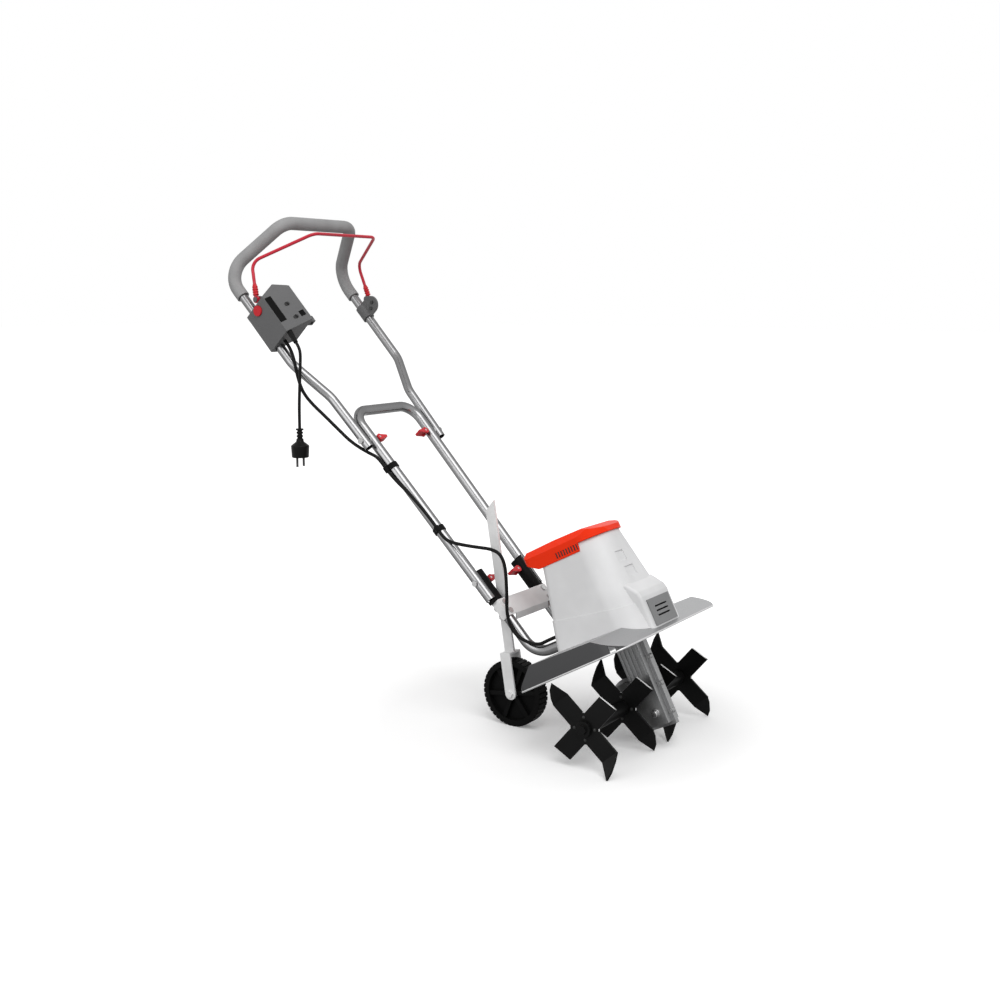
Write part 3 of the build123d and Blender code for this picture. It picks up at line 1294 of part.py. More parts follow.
PIN_START = BAIL_X - 3 - LUG_T
PIN_END = BAIL_X + EYE_T + MOVE_GAP
with BuildPart() as switch_box:
    with BuildSketch(BOX_PLANE):
        box_outline()
    extrude(amount=BOX_LONG)
    extrude(level_band(0, LID_LEVEL), amount=BOX_LONG, mode=Mode.INTERSECT)
    with BuildSketch(BOX_PLANE.offset(BOX_WALL)):
        box_room()
    extrude(amount=BOX_LONG - 2 * BOX_WALL, mode=Mode.SUBTRACT)
    x_rod(HANDLE_SIDE, (BUTTON_ALONG, BUTTON_AHEAD), BUTTON_FACE, BUTTON_FACE + RECESS + 2, BUTTON_R + 2)
    with BuildSketch(BOX_TUBE):
        Circle(GRIP_TUBE)
    extrude(amount=2 * BOX_LONG, both=True, mode=Mode.SUBTRACT)
    for place in SCREW_ALONG:
        foot = BOX_PLANE.from_local_coords(Vector(POST_OUT, BOX_BACK - 1, place))
        post = Plane(origin=foot, z_dir=HANDLE.y_dir)
        with BuildSketch(post):
            Circle(2 * SCREW_R)
        extrude(amount=LID_LEVEL - BOX_BACK + 1)
        with BuildSketch(post.offset(LID_LEVEL - BOX_BACK + 1)):
            Circle(SCREW_R)
        extrude(amount=-5 * SCREW_R, mode=Mode.SUBTRACT)
    with BuildSketch(across(HANDLE_SIDE, -PIN_START)):
        with Locations((BAIL_ALONG, BAIL_AHEAD)):
            Circle(EYE_R)
        with Locations(((BAIL_ALONG + BOX_END) / 2 - 1, BAIL_AHEAD)):
            Rectangle(BAIL_ALONG - BOX_END + 2, 2 * EYE_R)
    extrude(amount=-LUG_T)
    button_spot = (BUTTON_ALONG, BUTTON_AHEAD)
    x_rod(HANDLE_SIDE, button_spot, BUTTON_FACE, BUTTON_FACE + RECESS, BUTTON_R + MOVE_GAP, Mode.SUBTRACT)
    x_rod(HANDLE_SIDE, button_spot, BUTTON_FACE, BUTTON_FACE + 3 * RECESS, STEM_R + MOVE_GAP, Mode.SUBTRACT)
    x_rod(HANDLE_SIDE, (BAIL_ALONG, BAIL_AHEAD), -PIN_START, -PIN_END, EYE_PIN)
    x_rod(HANDLE_SIDE, (BAIL_ALONG, BAIL_AHEAD), -PIN_END, -PIN_END - EYE_PIN / 2, 1.8 * EYE_PIN)
save(switch_box, "switch_box")

with BuildPart() as box_lid:
    with BuildSketch(BOX_PLANE):
        box_outline()
    extrude(amount=BOX_LONG + LID_HUMP)
    extrude(level_band(LID_LEVEL, 2 * ROOF), amount=BOX_LONG + LID_HUMP, mode=Mode.INTERSECT)
    with BuildSketch(Plane(origin=BOX_PLANE.origin, x_dir=(-1, 0, 0), z_dir=HANDLE.y_dir)):
        Polygon(
            (BOX_OUT, 0),
            (BOX_OUT, -BOX_LONG),
            (HUMP_OUT, -BOX_LONG - LID_HUMP),
            (-BOX_IN + BOX_WALL, -BOX_LONG),
            (-BOX_IN, -BOX_LONG + BOX_WALL),
            (-BOX_IN, 0),
            align=None,
        )
    extrude(amount=2 * ROOF, mode=Mode.INTERSECT)
    with BuildSketch(BOX_PLANE.offset(BOX_WALL)):
        box_room()
    extrude(amount=BOX_LONG - 2 * BOX_WALL, mode=Mode.SUBTRACT)
    roof_level = RIDGE + ROOF_SLOPE * (BOX_OUT - POST_OUT)
    for place in SCREW_ALONG:
        foot = BOX_PLANE.from_local_coords(Vector(POST_OUT, LID_LEVEL, place))
        post = Plane(origin=foot, z_dir=HANDLE.y_dir)
        with BuildSketch(post):
            Circle(2 * SCREW_R)
        extrude(amount=roof_level - LID_LEVEL - BOX_WALL)
        with BuildSketch(post):
            Circle(SCREW_R)
        extrude(amount=ROOF, mode=Mode.SUBTRACT)
        with BuildSketch(post.offset(roof_level - LID_LEVEL - BOX_WALL)):
            Circle(2 * SCREW_R)
        extrude(amount=ROOF, mode=Mode.SUBTRACT)
    with BuildSketch(BOX_PLANE):
        with Locations((-BOX_IN - BOX_BACK / 2, ROOF - BOX_BACK)):
            Rectangle(BOX_BACK, BOX_BACK)
            Rectangle(BOX_BACK - 2 * BOX_WALL, BOX_BACK - 2 * BOX_WALL, mode=Mode.SUBTRACT)
    extrude(amount=BOX_BACK)
save(box_lid, "box_lid")

EAR_ALONG = BAIL_ALONG - BRACKET_LONG / 2
EAR_SCREWS = [(EAR_ALONG - 8, BAIL_AHEAD - 4), (EAR_ALONG, BAIL_AHEAD + 8)]
with BuildPart() as box_screws:
    for spot in EAR_SCREWS:
        x_rod(HANDLE_SIDE, spot, PIN_START, PIN_START + LUG_T, SCREW_R)
        x_rod(HANDLE_SIDE, spot, PIN_START - SCREW_R, PIN_START, 1.6 * SCREW_R)
    for place in SCREW_ALONG:
        head = BOX_PLANE.from_local_coords(Vector(POST_OUT, roof_level - BOX_WALL, place))
        with BuildSketch(Plane(origin=head, z_dir=HANDLE.y_dir)):
            Circle(SCREW_R)
        extrude(amount=-(roof_level - BOX_WALL - LID_LEVEL) - 5 * SCREW_R)
        with BuildSketch(Plane(origin=head, z_dir=HANDLE.y_dir)):
            Circle(2 * SCREW_R)
        extrude(amount=SCREW_R)
save(box_screws, "box_screws")

LABEL_PLANE = Plane(
    origin=BOX_PLANE.from_local_coords(Vector(BOX_OUT, RIDGE, BOX_LONG / 2 + 8)),
    x_dir=HANDLE_UP,
    z_dir=HANDLE.y_dir + HANDLE.x_dir * ROOF_SLOPE,
)
with BuildPart() as label_plate:
    with BuildSketch(LABEL_PLANE):
        with Locations((0, -LABEL_WIDE / 2 - 1)):
            Rectangle(LABEL_LONG, LABEL_WIDE)
    extrude(amount=LABEL_T)
save(label_plate, "label_plate")

with BuildPart() as switch_unit:
    with BuildSketch(BOX_PLANE.offset(BOX_LONG / 2 + 14)):
        with Locations((-BOX_BACK, BOX_BACK + 20)):
            Rectangle(22, 28)
    extrude(amount=28)
save(switch_unit, "switch_unit")

with BuildPart() as safety_button:
    spot = (BUTTON_ALONG, BUTTON_AHEAD)
    x_rod(HANDLE_SIDE, spot, BUTTON_FACE - BUTTON_PROUD, BUTTON_FACE + 1, BUTTON_R)
    x_rod(HANDLE_SIDE, spot, BUTTON_FACE + 1, BUTTON_FACE + RECESS + 5, STEM_R)
save(safety_button, "safety_button")

# Bail lever over the grip, on a pin at the box and one at the far bracket
EYE_MIDDLE = BAIL_X + EYE_T / 2
bail_half = [
    (EYE_MIDDLE, BAIL_ALONG, BAIL_AHEAD),
    (ELBOW_X, ELBOW_ALONG, ELBOW_AHEAD),
    (BAIL_TOP_X, BAIL_TOP_ALONG, BAIL_TOP_AHEAD),
]
bail_right = [on_handle(-x, along, ahead) for x, along, ahead in bail_half]
bail_left = [on_handle(x, along, ahead) for x, along, ahead in reversed(bail_half)]
bail_wire = swept_tube(bail_right + bail_left, BAIL_BEND, BAIL_WIRE)
with BuildPart() as bail_lever:
    add(bail_wire)
    for side in SIDES.values():
        spot = (BAIL_ALONG, BAIL_AHEAD)
        x_rod(HANDLE_SIDE, spot, side * BAIL_X, side * (BAIL_X + EYE_T), EYE_R)
        bore = EYE_PIN + RUN_FIT
        x_rod(HANDLE_SIDE, spot, side * (BAIL_X - EYE_T), side * (BAIL_X + 2 * EYE_T), bore, Mode.SUBTRACT)
save(bail_lever, "bail_lever")

with BuildPart() as bail_boots:
    for ends in (bail_right, bail_left[::-1]):
        along = (ends[1] - ends[0]).normalized()
        with BuildSketch(Plane(origin=ends[0] + along * BOOT_START, z_dir=along)):
            Circle(BOOT_R)
            Circle(BAIL_WIRE, mode=Mode.SUBTRACT)
        extrude(amount=BOOT_LONG)
save(bail_boots, "bail_boots")

far_low = on_handle(grip_x(BAIL_ALONG - BRACKET_LONG), BAIL_ALONG - BRACKET_LONG, 0)
far_high = on_handle(grip_x(BAIL_ALONG), BAIL_ALONG, 0)
FAR_TUBE = Plane(origin=far_low, z_dir=far_high - far_low)
with BuildPart() as pivot_bracket:
    with BuildSketch(FAR_TUBE):
        Circle(GRIP_TUBE + 1.5 * BRACKET_T)
    extrude(amount=BRACKET_LONG)
    with BuildSketch(across(HANDLE_SIDE, PIN_START)):
        with Locations((EAR_ALONG, BAIL_AHEAD)):
            Circle(EAR_R)
        with Locations((BAIL_ALONG, BAIL_AHEAD)):
            Circle(EYE_R)
        with Locations((EAR_ALONG, BAIL_AHEAD / 2)):
            Rectangle(2 * EAR_R, BAIL_AHEAD)
    extrude(amount=LUG_T)
    with BuildSketch(FAR_TUBE):
        Circle(GRIP_TUBE)
    extrude(amount=2 * BRACKET_LONG, both=True, mode=Mode.SUBTRACT)
    x_rod(HANDLE_SIDE, (BAIL_ALONG, BAIL_AHEAD), PIN_START, PIN_END, EYE_PIN)
    x_rod(HANDLE_SIDE, (BAIL_ALONG, BAIL_AHEAD), PIN_END, PIN_END + EYE_PIN / 2, 1.8 * EYE_PIN)
    for spot in EAR_SCREWS:
        x_rod(HANDLE_SIDE, spot, PIN_START, PIN_START + LUG_T, SCREW_R, Mode.SUBTRACT)
save(pivot_bracket, "pivot_bracket")

# Mains lead: a relief at the box, a short hanging lead and its plug
relief_start = on_handle(MAINS_X, BOX_START, MAINS_AHEAD)
RELIEF = Plane(origin=relief_start, z_dir=RELIEF_TILT)
relief_end = relief_start + RELIEF.z_dir * RELIEF_LONG
with BuildPart() as mains_relief:
    with BuildSketch(RELIEF.offset(-RELIEF_R)):
        Circle(RELIEF_R)
    with BuildSketch(RELIEF.offset(RELIEF_LONG)):
        Circle(RELIEF_END_R)
    loft()
    with BuildSketch(BOX_PLANE):
        Rectangle(4 * BOX_IN, 4 * ROOF)
    extrude(amount=BOX_LONG, mode=Mode.SUBTRACT)
save(mains_relief, "mains_relief")

mains_points = [
    relief_end,
    relief_end + RELIEF.z_dir * 14,
    relief_end + Vector(-4.0, -15.6, -22.1),
    relief_end + Vector(-5.5, -15.6, -48.1),
    relief_end + Vector(-7.0, -13.8, -90.9),
    relief_end + Vector(-7.0, -10.8, -134.9),
    relief_end + Vector(-7.0, -10.8, -176.9),
]


def corner_radii(points):
    """A tangent radius for every corner, from the shorter run beside it and the angle it turns."""
    radii = []
    for before, at, after in zip(points, points[1:], points[2:]):
        turn = radians((at - before).get_angle(after - at))
        shorter = min((at - before).length, (after - at).length)
        radii.append(0.45 * shorter * cos(turn / 2) / sin(turn / 2))
    return radii


mains_radii = corner_radii(mains_points)
print("mains lead radii", [round(radius, 1) for radius in mains_radii])
mains_tube = swept_tube(mains_points, mains_radii, MAINS_R)
with BuildPart() as mains_lead:
    add(mains_tube)
save(mains_lead, "mains_lead")

plug_top = mains_points[-1]
PLUG = Plane(origin=plug_top, x_dir=(1, 0, 0), z_dir=(0, 0, -1))
with BuildPart() as plug_body:
    with BuildSketch(PLUG):
        Circle(2 * MAINS_R)
    with BuildSketch(PLUG.offset(PLUG_NECK)):
        Circle(PLUG_R * 0.6)
    loft()
    with BuildSketch(PLUG.offset(PLUG_NECK)):
        Circle(PLUG_R)
    extrude(amount=PLUG_BODY)
save(plug_body, "plug_body")

with BuildPart() as plug_pins:
    with BuildSketch(PLUG.offset(PLUG_NECK + PLUG_BODY)):
        with GridLocations(PIN_PITCH, 0, 2, 1):
            Circle(PIN_R)
    extrude(amount=PIN_LONG)
save(plug_pins, "plug_pins")

# Motor lead: from the box over the right tube, along the lower handle and into the housing
clip_high_x = -leg_x(CLIP_HIGH) - HIGH_CLIP_OUT
clip_low_x = -leg_x(CLIP_LOW) - LOW_CLIP_OUT
straight = SPREAD_START - HIGH_CLAMP
upper_lead_points = [
    on_handle(-174, BOX_START, 21),
    on_handle(-174, BOX_START - 19, 21),
    on_handle(-180, BOX_START - 46, 17.5),
    on_handle(-181, SPREAD_END - 28, 0.5),
    on_handle(-172, SPREAD_START + 45, -18),
    on_handle(-166, SPREAD_START + 27, -24.5),
    on_handle(-157, SPREAD_START + 6.5, -28.5),
    on_handle(-147, HIGH_CLAMP + 0.811 * straight, -28.5),
    on_handle(-137, HIGH_CLAMP + 0.504 * straight, -28),
    on_handle(-128, HIGH_CLAMP + 16, -25),
    on_handle(-116.5, HIGH_CLAMP - 22, -14),
    on_handle(clip_high_x, CLIP_HIGH + 34, HIGH_CLIP_AHEAD),
    on_handle(clip_high_x, CLIP_HIGH + 16, HIGH_CLIP_AHEAD),
]
middle_lead_points = [
    on_handle(clip_high_x, CLIP_HIGH + 16, HIGH_CLIP_AHEAD),
    on_handle(clip_high_x, CLIP_HIGH - 16, HIGH_CLIP_AHEAD),
    on_handle(-108.5, 285, 4),
    on_handle(-106.5, 235, 8),
    on_handle(clip_low_x, CLIP_LOW + 12, LOW_CLIP_AHEAD),
    on_handle(clip_low_x, CLIP_LOW - 12, LOW_CLIP_AHEAD),
]
lower_lead_points = [
    on_handle(clip_low_x, CLIP_LOW - 12, LOW_CLIP_AHEAD),
    on_handle(clip_low_x, CLIP_LOW - 29, LOW_CLIP_AHEAD),
    on_handle(-101, 139, 20.5),
    on_handle(-97, 110, 47),
    on_handle(-93.5, 72, 86),
    on_handle(-92.5, 42.5, 85),
    on_handle(-92, -1, 49.5),
    on_handle(-91, -41.5, 8.5),
    on_handle(-89, -82, -1),
    on_body(-83, 108, 169),
    on_body(-73, 82, 172),
    on_body(CABLE_HOLE_X, BASE_REAR - 12, CABLE_HOLE_UP),
]
for name, points in (
    ("motor_lead_upper", upper_lead_points),
    ("motor_lead_middle", middle_lead_points),
    ("motor_lead_lower", lower_lead_points),
):
    bends = corner_radii(points)
    print(name, "radii", [round(radius, 1) for radius in bends])
    lead_tube = swept_tube(points, bends, LEAD_R)
    with BuildPart() as motor_lead:
        add(lead_tube)
    save(motor_lead, name)

with BuildPart() as cable_clips:
    for along, out, ahead in (
        (CLIP_HIGH, HIGH_CLIP_OUT, HIGH_CLIP_AHEAD),
        (CLIP_LOW, LOW_CLIP_OUT, LOW_CLIP_AHEAD),
    ):
        low = along - CLIP_LONG / 2
        spot = Plane(origin=on_handle(-leg_x(along), low, 0), x_dir=(-1, 0, 0), z_dir=HANDLE_UP)
        with BuildSketch(spot):
            Circle(TUBE_R + 2)
            with Locations((out, ahead)):
                Circle(LEAD_R + 2)
            with Locations((out, ahead)):
                Circle(LEAD_R + SLIDE_GAP, mode=Mode.SUBTRACT)
        extrude(amount=CLIP_LONG)
    leg_low = on_handle(-leg_x(0), 0, 0)
    leg_high = on_handle(-leg_x(HIGH_CLAMP), HIGH_CLAMP, 0)
    with BuildSketch(Plane(origin=leg_low, z_dir=leg_high - leg_low)):
        Circle(TUBE_R)
    extrude(amount=HIGH_CLAMP, mode=Mode.SUBTRACT)
save(cable_clips, "cable_clips")
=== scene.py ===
"""Dresses the electric tiller: cords, foam grip, plug and moulded details, with a finish for every piece."""

from math import cos, radians, sin, tan

import bpy
from bpy.props import FloatProperty, FloatVectorProperty, PointerProperty
from mathutils import Matrix, Vector


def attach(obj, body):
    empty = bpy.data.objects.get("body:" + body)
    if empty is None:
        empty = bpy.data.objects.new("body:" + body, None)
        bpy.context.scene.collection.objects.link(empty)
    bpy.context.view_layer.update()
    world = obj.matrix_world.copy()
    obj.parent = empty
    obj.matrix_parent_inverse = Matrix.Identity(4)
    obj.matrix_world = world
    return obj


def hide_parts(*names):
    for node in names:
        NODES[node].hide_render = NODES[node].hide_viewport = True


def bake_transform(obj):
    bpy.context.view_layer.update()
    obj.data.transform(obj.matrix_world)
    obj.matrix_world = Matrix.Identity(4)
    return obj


bl_info = {
    "name": "Electric Tiller",
    "version": (1, 0, 0),
    "blender": (4, 5, 0),
    "location": "View3D > Sidebar > Tiller",
    "description": "Builds the soft and moulded details of an electric tiller around its packed frame",
    "category": "Object",
}

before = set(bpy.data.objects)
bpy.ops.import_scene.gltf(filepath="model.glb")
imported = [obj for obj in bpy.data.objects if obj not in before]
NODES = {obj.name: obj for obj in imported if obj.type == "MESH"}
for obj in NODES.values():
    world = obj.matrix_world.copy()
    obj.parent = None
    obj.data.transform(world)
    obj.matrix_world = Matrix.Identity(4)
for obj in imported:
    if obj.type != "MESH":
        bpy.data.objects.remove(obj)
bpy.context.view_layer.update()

# Routes of the cords, in metres in the frame of the tiller

MAINS_ROUTE = (
    (-0.18598, 0.29696, 0.76625),
    (-0.1886, 0.28685, 0.75693),
    (-0.18998, 0.28136, 0.74415),
    (-0.19148, 0.28136, 0.71815),
    (-0.19298, 0.28316, 0.67535),
    (-0.19298, 0.28616, 0.63135),
    (-0.19298, 0.28616, 0.58935),
)
UPPER_ROUTE = (
    (-0.174, 0.33949, 0.76881),
    (-0.174, 0.32629, 0.75514),
    (-0.18, 0.31005, 0.73329),
    (-0.181, 0.30074, 0.69918),
    (-0.172, 0.29877, 0.6705),
    (-0.166, 0.29094, 0.65304),
    (-0.157, 0.27958, 0.63551),
    (-0.147, 0.25943, 0.61465),
    (-0.137, 0.23372, 0.58875),
    (-0.128, 0.201, 0.55918),
    (-0.1165, 0.16669, 0.53948),
    (-0.10958, 0.14773, 0.53137),
    (-0.10958, 0.13523, 0.51843),
)
MIDDLE_ROUTE = (
    (-0.10958, 0.13523, 0.51843),
    (-0.10958, 0.113, 0.49541),
    (-0.1085, 0.0676, 0.46279),
    (-0.1065, 0.02999, 0.4296),
    (-0.1045, 0.00604, 0.40408),
    (-0.1045, -0.01064, 0.38681),
)
LOWER_ROUTE = (
    (-0.1045, -0.01064, 0.38681),
    (-0.1045, -0.02244, 0.37458),
    (-0.101, -0.04569, 0.36923),
    (-0.097, -0.0849, 0.36678),
    (-0.0935, -0.13935, 0.36653),
    (-0.0925, -0.15912, 0.34462),
    (-0.092, -0.1638, 0.28867),
    (-0.091, -0.16244, 0.23105),
    (-0.089, -0.18374, 0.19532),
    (-0.083, -0.22955, 0.18239),
    (-0.073, -0.25135, 0.19686),
    (-0.07, -0.2763, 0.20957),
)
FOAM_ROUTE = (
    (-0.17657, 0.45462, 0.85781),
    (-0.178, 0.50186, 0.90672),
    (-0.107, 0.39887, 1.01313),
    (0.107, 0.39887, 1.01313),
    (0.178, 0.50186, 0.90672),
    (0.17657, 0.45462, 0.85781),
)
FOAM_BENDS = (0.050, 0.040, 0.040, 0.050)

# Places and directions of the small pieces, in metres in the frame of the tiller

TINE_AXLE = (0.0, -0.4025, 0.080836)
STAR_PLACES = (-0.190, -0.050, 0.050, 0.190)
STAR_FACE = 0.002
BAIL_EYE = (0.1815, 0.41086, 0.8528)
BAIL_ELBOW = (0.170, 0.43354, 0.93099)
CAP_SPOT = (-0.021, -0.4598, 0.0719)
WINDOW_SPOT = (-0.1478, 0.3132, 0.8258)
LID_FACE = (-0.577, -0.588, 0.567)
LID_RUN = (0.0, 0.695, 0.719)
FOAM_RIM = 0.0012

# Profiles of the round pieces, as radius and height in millimetres

PLUG_PROFILE = (
    (0, 0), (7.4, 0), (8.0, -0.6), (8.0, -2.6), (7.2, -3.2), (5.0, -3.8), (5.0, -6.2), (6.6, -7.0),
    (6.8, -7.6), (6.8, -9.6), (6.4, -10.2), (5.0, -10.8), (5.0, -13.2), (6.6, -14.0), (6.8, -14.6),
    (6.8, -16.6), (6.4, -17.2), (5.2, -17.8), (5.2, -20.0), (6.8, -20.8), (7.4, -22.0), (7.8, -26.0),
    (9.0, -27.6), (17.6, -34.4), (18.6, -35.4), (18.9, -36.6), (18.7, -38.0), (17.6, -58.4),
    (17.1, -59.5), (16.0, -60), (0, -60),
)
BOOT_PROFILE = (
    (3.6, 9.0), (5.6, 9.0), (6.2, 9.6), (6.2, 12.0), (5.0, 12.8), (5.0, 14.2), (6.2, 15.0), (6.2, 17.4),
    (5.0, 18.2), (5.0, 19.6), (6.2, 20.4), (6.2, 22.8), (5.0, 23.6), (5.0, 25.0), (5.8, 25.8), (5.8, 28.0),
    (4.6, 30.0), (4.4, 32.6), (3.9, 33.0), (3.6, 33.0), (3.6, 9.0),
)
BOLT_PROFILE = ((0, 1.8), (1.4, 1.8), (1.9, 1.4), (2.1, 0.5), (3.0, 0.5), (3.0, 0), (0, 0))
CAP_PROFILE = ((0, 8), (5.4, 8), (6.5, 7), (6.5, 2.4), (8.2, 2.2), (8.5, 1.8), (8.5, -0.3), (0, -0.3))

# Sizes of the hem, the vent shade plates and window in millimetres, the first two placed along the tilted
# body

GUARD_SIDE = 205.0
GUARD_FRONT = (-148.0, 111.0)
GUARD_BACK = (99.0, 101.0)
GUARD_CORNERS = (44.0, 17.0)
HEM_R = 1.9
# Painted shade: black plates behind the cover's vent slots
VENT_SHADE_SIZE = (12.4, 55.4, 0.8)
VENT_SHADE_SPOT = (64.6, -28.5, 316.0)
VENT_SHADE_ROUNDING = 0.2
WINDOW_SIZE = (11.0, 14.0, 1.2)
WINDOW_ROUNDING = 0.4

# Turns and counts

BODY_TILT = 27.0
BOLT_COUNT = 4
BOLT_TURN = 5.0
BOLT_STEPS = 16
HEM_STEPS = 8
FOAM_RIM_ANGLE = radians(60)

# Values of the modelling helpers, MM being the millimetres in a metre

MM = 1000
FACET_ANGLE = radians(35)
CURVE_ANGLE = radians(40)
STRAIGHT_PULL = 0.002
WELD = 0.00002

# How the finishes vary about their own colour and roughness, and the painted shade and highlight laid over
# some of them

PLASTIC_SHADES = (0.93, 1.06)
PLASTIC_ROUGH = (-0.05, 0.06)
RUB_KEEP = 0.8
RUB_PALE = 0.05
RUB_LIFT = 1.25
METAL_ROUGH = (-0.06, 0.08)
PAINT_SHADES = (0.9, 1.1)
PAINT_ROUGH = (-0.06, 0.06)
PAINT_GRAIN = 380.0
PAINT_DRIFT = 14.0
# Painted shade: how dark the flanks of the zinc tubes and of the cast gearbox are painted where they turn
# away
TUBE_PAINTED_SHADE = 0.12
CAST_PAINTED_SHADE = 0.5
# Partly painted highlight: where the pale tine ends start and finish
END_TURN = (0.9, 0.94)
# Painted shade: where the guard's end walls start and finish turning dark
SIDE_SHADE_TURN = (0.25, 0.6)

# Colours of the metals that have no control of their own

DARK_STEEL = (0.05, 0.05, 0.05)
BRASS = (0.56, 0.38, 0.16)
COPPER = (0.5, 0.2, 0.08)
# Painted highlight: the hem is the guard's own sheet, given a paler silver for the light its rolled edge
# catches
HEM_HIGHLIGHT_SILVER = (0.62, 0.62, 0.625)
# Painted shade: the dark of the guard's end walls
GUARD_END_SHADE = (0.075, 0.075, 0.077)
BARE_BRACKET = (0.8, 0.8, 0.8)
BARE_TINE = (0.2, 0.2, 0.2)
BARE_BAIL = (0.5, 0.3, 0.3)

# Camera, floor and lamps

CAMERA_SPOT = (-2.047, -1.4885, 0.857)
CAMERA_VIEW = (0.8136, 0.5582, -0.1626)
SHADE_CENTRE = (0.0, -0.22, 0.0)
SENSOR_WIDTH = 36
VIEW_REACH = 100
FLOOR_SIZE = 60
FLOOR_BOUNCE = (0.4, 0.4, 0.4, 1.0)
SHADE_NEAR = 0.35
SHADE_FAR = 1.0
FAR_GLOW = 0.65
WHITE = (1.0, 1.0, 1.0, 1.0)
KEY_SPOT = (-1.2, -1.9, 3.4)
KEY_TARGET = (0.0, -0.1, 0.3)
KEY_SIZE = 2.6
SIDE_SPOT = (-3.2, 0.6, 1.6)
SIDE_TARGET = (0.0, 0.0, 0.5)
SIDE_SIZE = 2.2

# Frame pieces that wear each finish

WEARERS = {
    "housing": ("motor_housing",),
    "cover": ("top_cover",),
    "lever": (
        "bail_boots", "safety_button", "lower_lever_right", "lower_lever_left", "upper_lever_right",
        "upper_lever_left",
    ),
    "grille": ("front_grille",),
    "box": ("switch_box", "box_lid", "box_clamp", "pivot_bracket"),
    "foam": ("grip_foam",),
    "black": ("tube_sleeves", "cable_clips", "wheel", "switch_unit", "brush_holders", "plug_body"),
    "rubber": ("mains_relief", "mains_lead", "motor_lead_upper", "motor_lead_middle", "motor_lead_lower"),
    "label": ("label_plate",),
    "zinc": ("frame_tubes", "lower_handle", "upper_handle"),
    "bracket": ("cross_bracket", "depth_bar", "wheel_fork", "wheel_axle"),
    "alloy": ("gearbox_right", "gearbox_left", "motor_base", "motor_bell", "cooling_fan"),
    "steel": (
        "gearbox_screws", "plate_bolts", "bracket_bolts", "lower_clamp_bolts", "upper_clamp_bolts",
        "spacer_washers", "tine_shaft", "rotor_shaft", "rotor_bearings", "stator", "armature",
    ),
    "dark": ("box_screws", "plug_pins"),
    "brass": ("tine_bushes", "worm_wheel"),
    "copper": ("field_coils",),
    "guard": ("guard_plate",),
    "tine": ("outer_tines", "inner_tines"),
    # The black hub paint on the fasteners is partly painted shade: the black end bolt stands in for the dark
    # hollow end of the hub
    "hub": ("tine_hubs", "hub_fasteners"),
    "bail": ("bail_lever",),
}


def colour(name, description, value):
    """A colour that a user may change."""
    return FloatVectorProperty(
        name=name, description=description, default=value, size=3, min=0, max=1, subtype="COLOR"
    )


def length(name, description, value):
    """A size in metres that a user may change."""
    return FloatProperty(name=name, description=description, default=value, min=0, unit="LENGTH")


class TillerColours(bpy.types.PropertyGroup):
    """Colours of the tiller's finishes"""

    housing: colour("Housing", "Light grey plastic of the motor tower", (0.76, 0.76, 0.765))
    cover: colour("Cover", "Red plastic of the cover", (0.96, 0.036, 0.005))
    guard: colour("Guard", "Silver paint of the sheet guard", (0.40, 0.403, 0.408))
    grille: colour("Grille", "Grey plastic of the front grille", (0.22, 0.222, 0.225))
    switch_box: colour("Switch box", "Dark grey plastic of the switch box", (0.125, 0.125, 0.127))
    foam: colour("Foam", "Grey foam of the grip", (0.35, 0.35, 0.352))
    bail: colour("Bail", "Red coating of the bail", (0.56, 0.016, 0.040))
    lever: colour("Levers", "Red plastic of the levers, boots and button", (0.60, 0.014, 0.024))
    tine: colour("Tines", "Black paint of the tines", (0.006, 0.006, 0.006))
    rubber: colour("Rubber", "Black rubber of the leads", (0.004, 0.004, 0.004))
    black: colour("Black plastic", "Black plastic of the wheel, clips and sleeves", (0.005, 0.005, 0.005))
    zinc: colour("Zinc", "Bright zinc of the tubes", (0.29, 0.29, 0.294))
    bracket: colour("Bracket", "Pale paint of the bracket and depth bar", (0.86, 0.86, 0.86))
    alloy: colour("Alloy", "Cast alloy of the gearbox", (0.40, 0.402, 0.405))
    steel: colour("Steel", "Plain steel of the bolts", (0.50, 0.50, 0.50))


class TillerSizes(bpy.types.PropertyGroup):
    """Sizes of the tiller's soft pieces"""

    mains_diameter: length("Mains lead", "Diameter of the mains lead", 0.0064)
    motor_diameter: length("Motor lead", "Diameter of the lead to the motor", 0.0070)
    foam_radius: length("Foam radius", "Outer radius of the foam grip", 0.0139)
    bolt_ring: length("Bolt ring", "Radius of the ring of bolts on a tine star", 0.0215)
    foam_wall: length("Foam wall", "Thickness of the foam", 0.0038)


class TillerStage(bpy.types.PropertyGroup):
    """Camera, floor and light"""

    lens: FloatProperty(name="Lens", description="Focal length of the camera", default=44.24, unit="CAMERA")
    floor: colour("Floor", "Pale floor", (0.97, 0.97, 0.97))
    glow: FloatProperty(name="Glow", description="White added by the tiller", default=0.14, min=0, max=1)
    sky: FloatProperty(name="Sky", description="Strength of the even light", default=0.55, min=0)
    key: FloatProperty(name="Key", description="Power of the large lamp", default=64.0, unit="POWER")
    fill: FloatProperty(name="Fill", description="Power of the side lamp", default=22.0, unit="POWER")


# Shader groups that several finishes share


def add_node(tree, kind, spot, **settings):
    """A node of that kind at a spot in the tree, with its settings."""
    made = tree.nodes.new(kind)
    made.location = (spot[0] * 200, spot[1] * 160)
    for name, value in settings.items():
        setattr(made, name, value)
    return made


def link(tree, *pairs):
    """Joins each pair of sockets."""
    for output, socket in pairs:
        tree.links.new(output, socket)


def open_group(name, inputs, outputs):
    """An empty shader group with named float inputs and outputs."""
    group = bpy.data.node_groups.new(name, "ShaderNodeTree")
    for socket, value in inputs:
        made = group.interface.new_socket(socket, in_out="INPUT", socket_type="NodeSocketFloat")
        made.default_value = value
    for socket in outputs:
        group.interface.new_socket(socket, in_out="OUTPUT", socket_type="NodeSocketFloat")
    enter = add_node(group, "NodeGroupInput", (-4, 0))
    leave = add_node(group, "NodeGroupOutput", (4, 0))
    return group, enter, leave


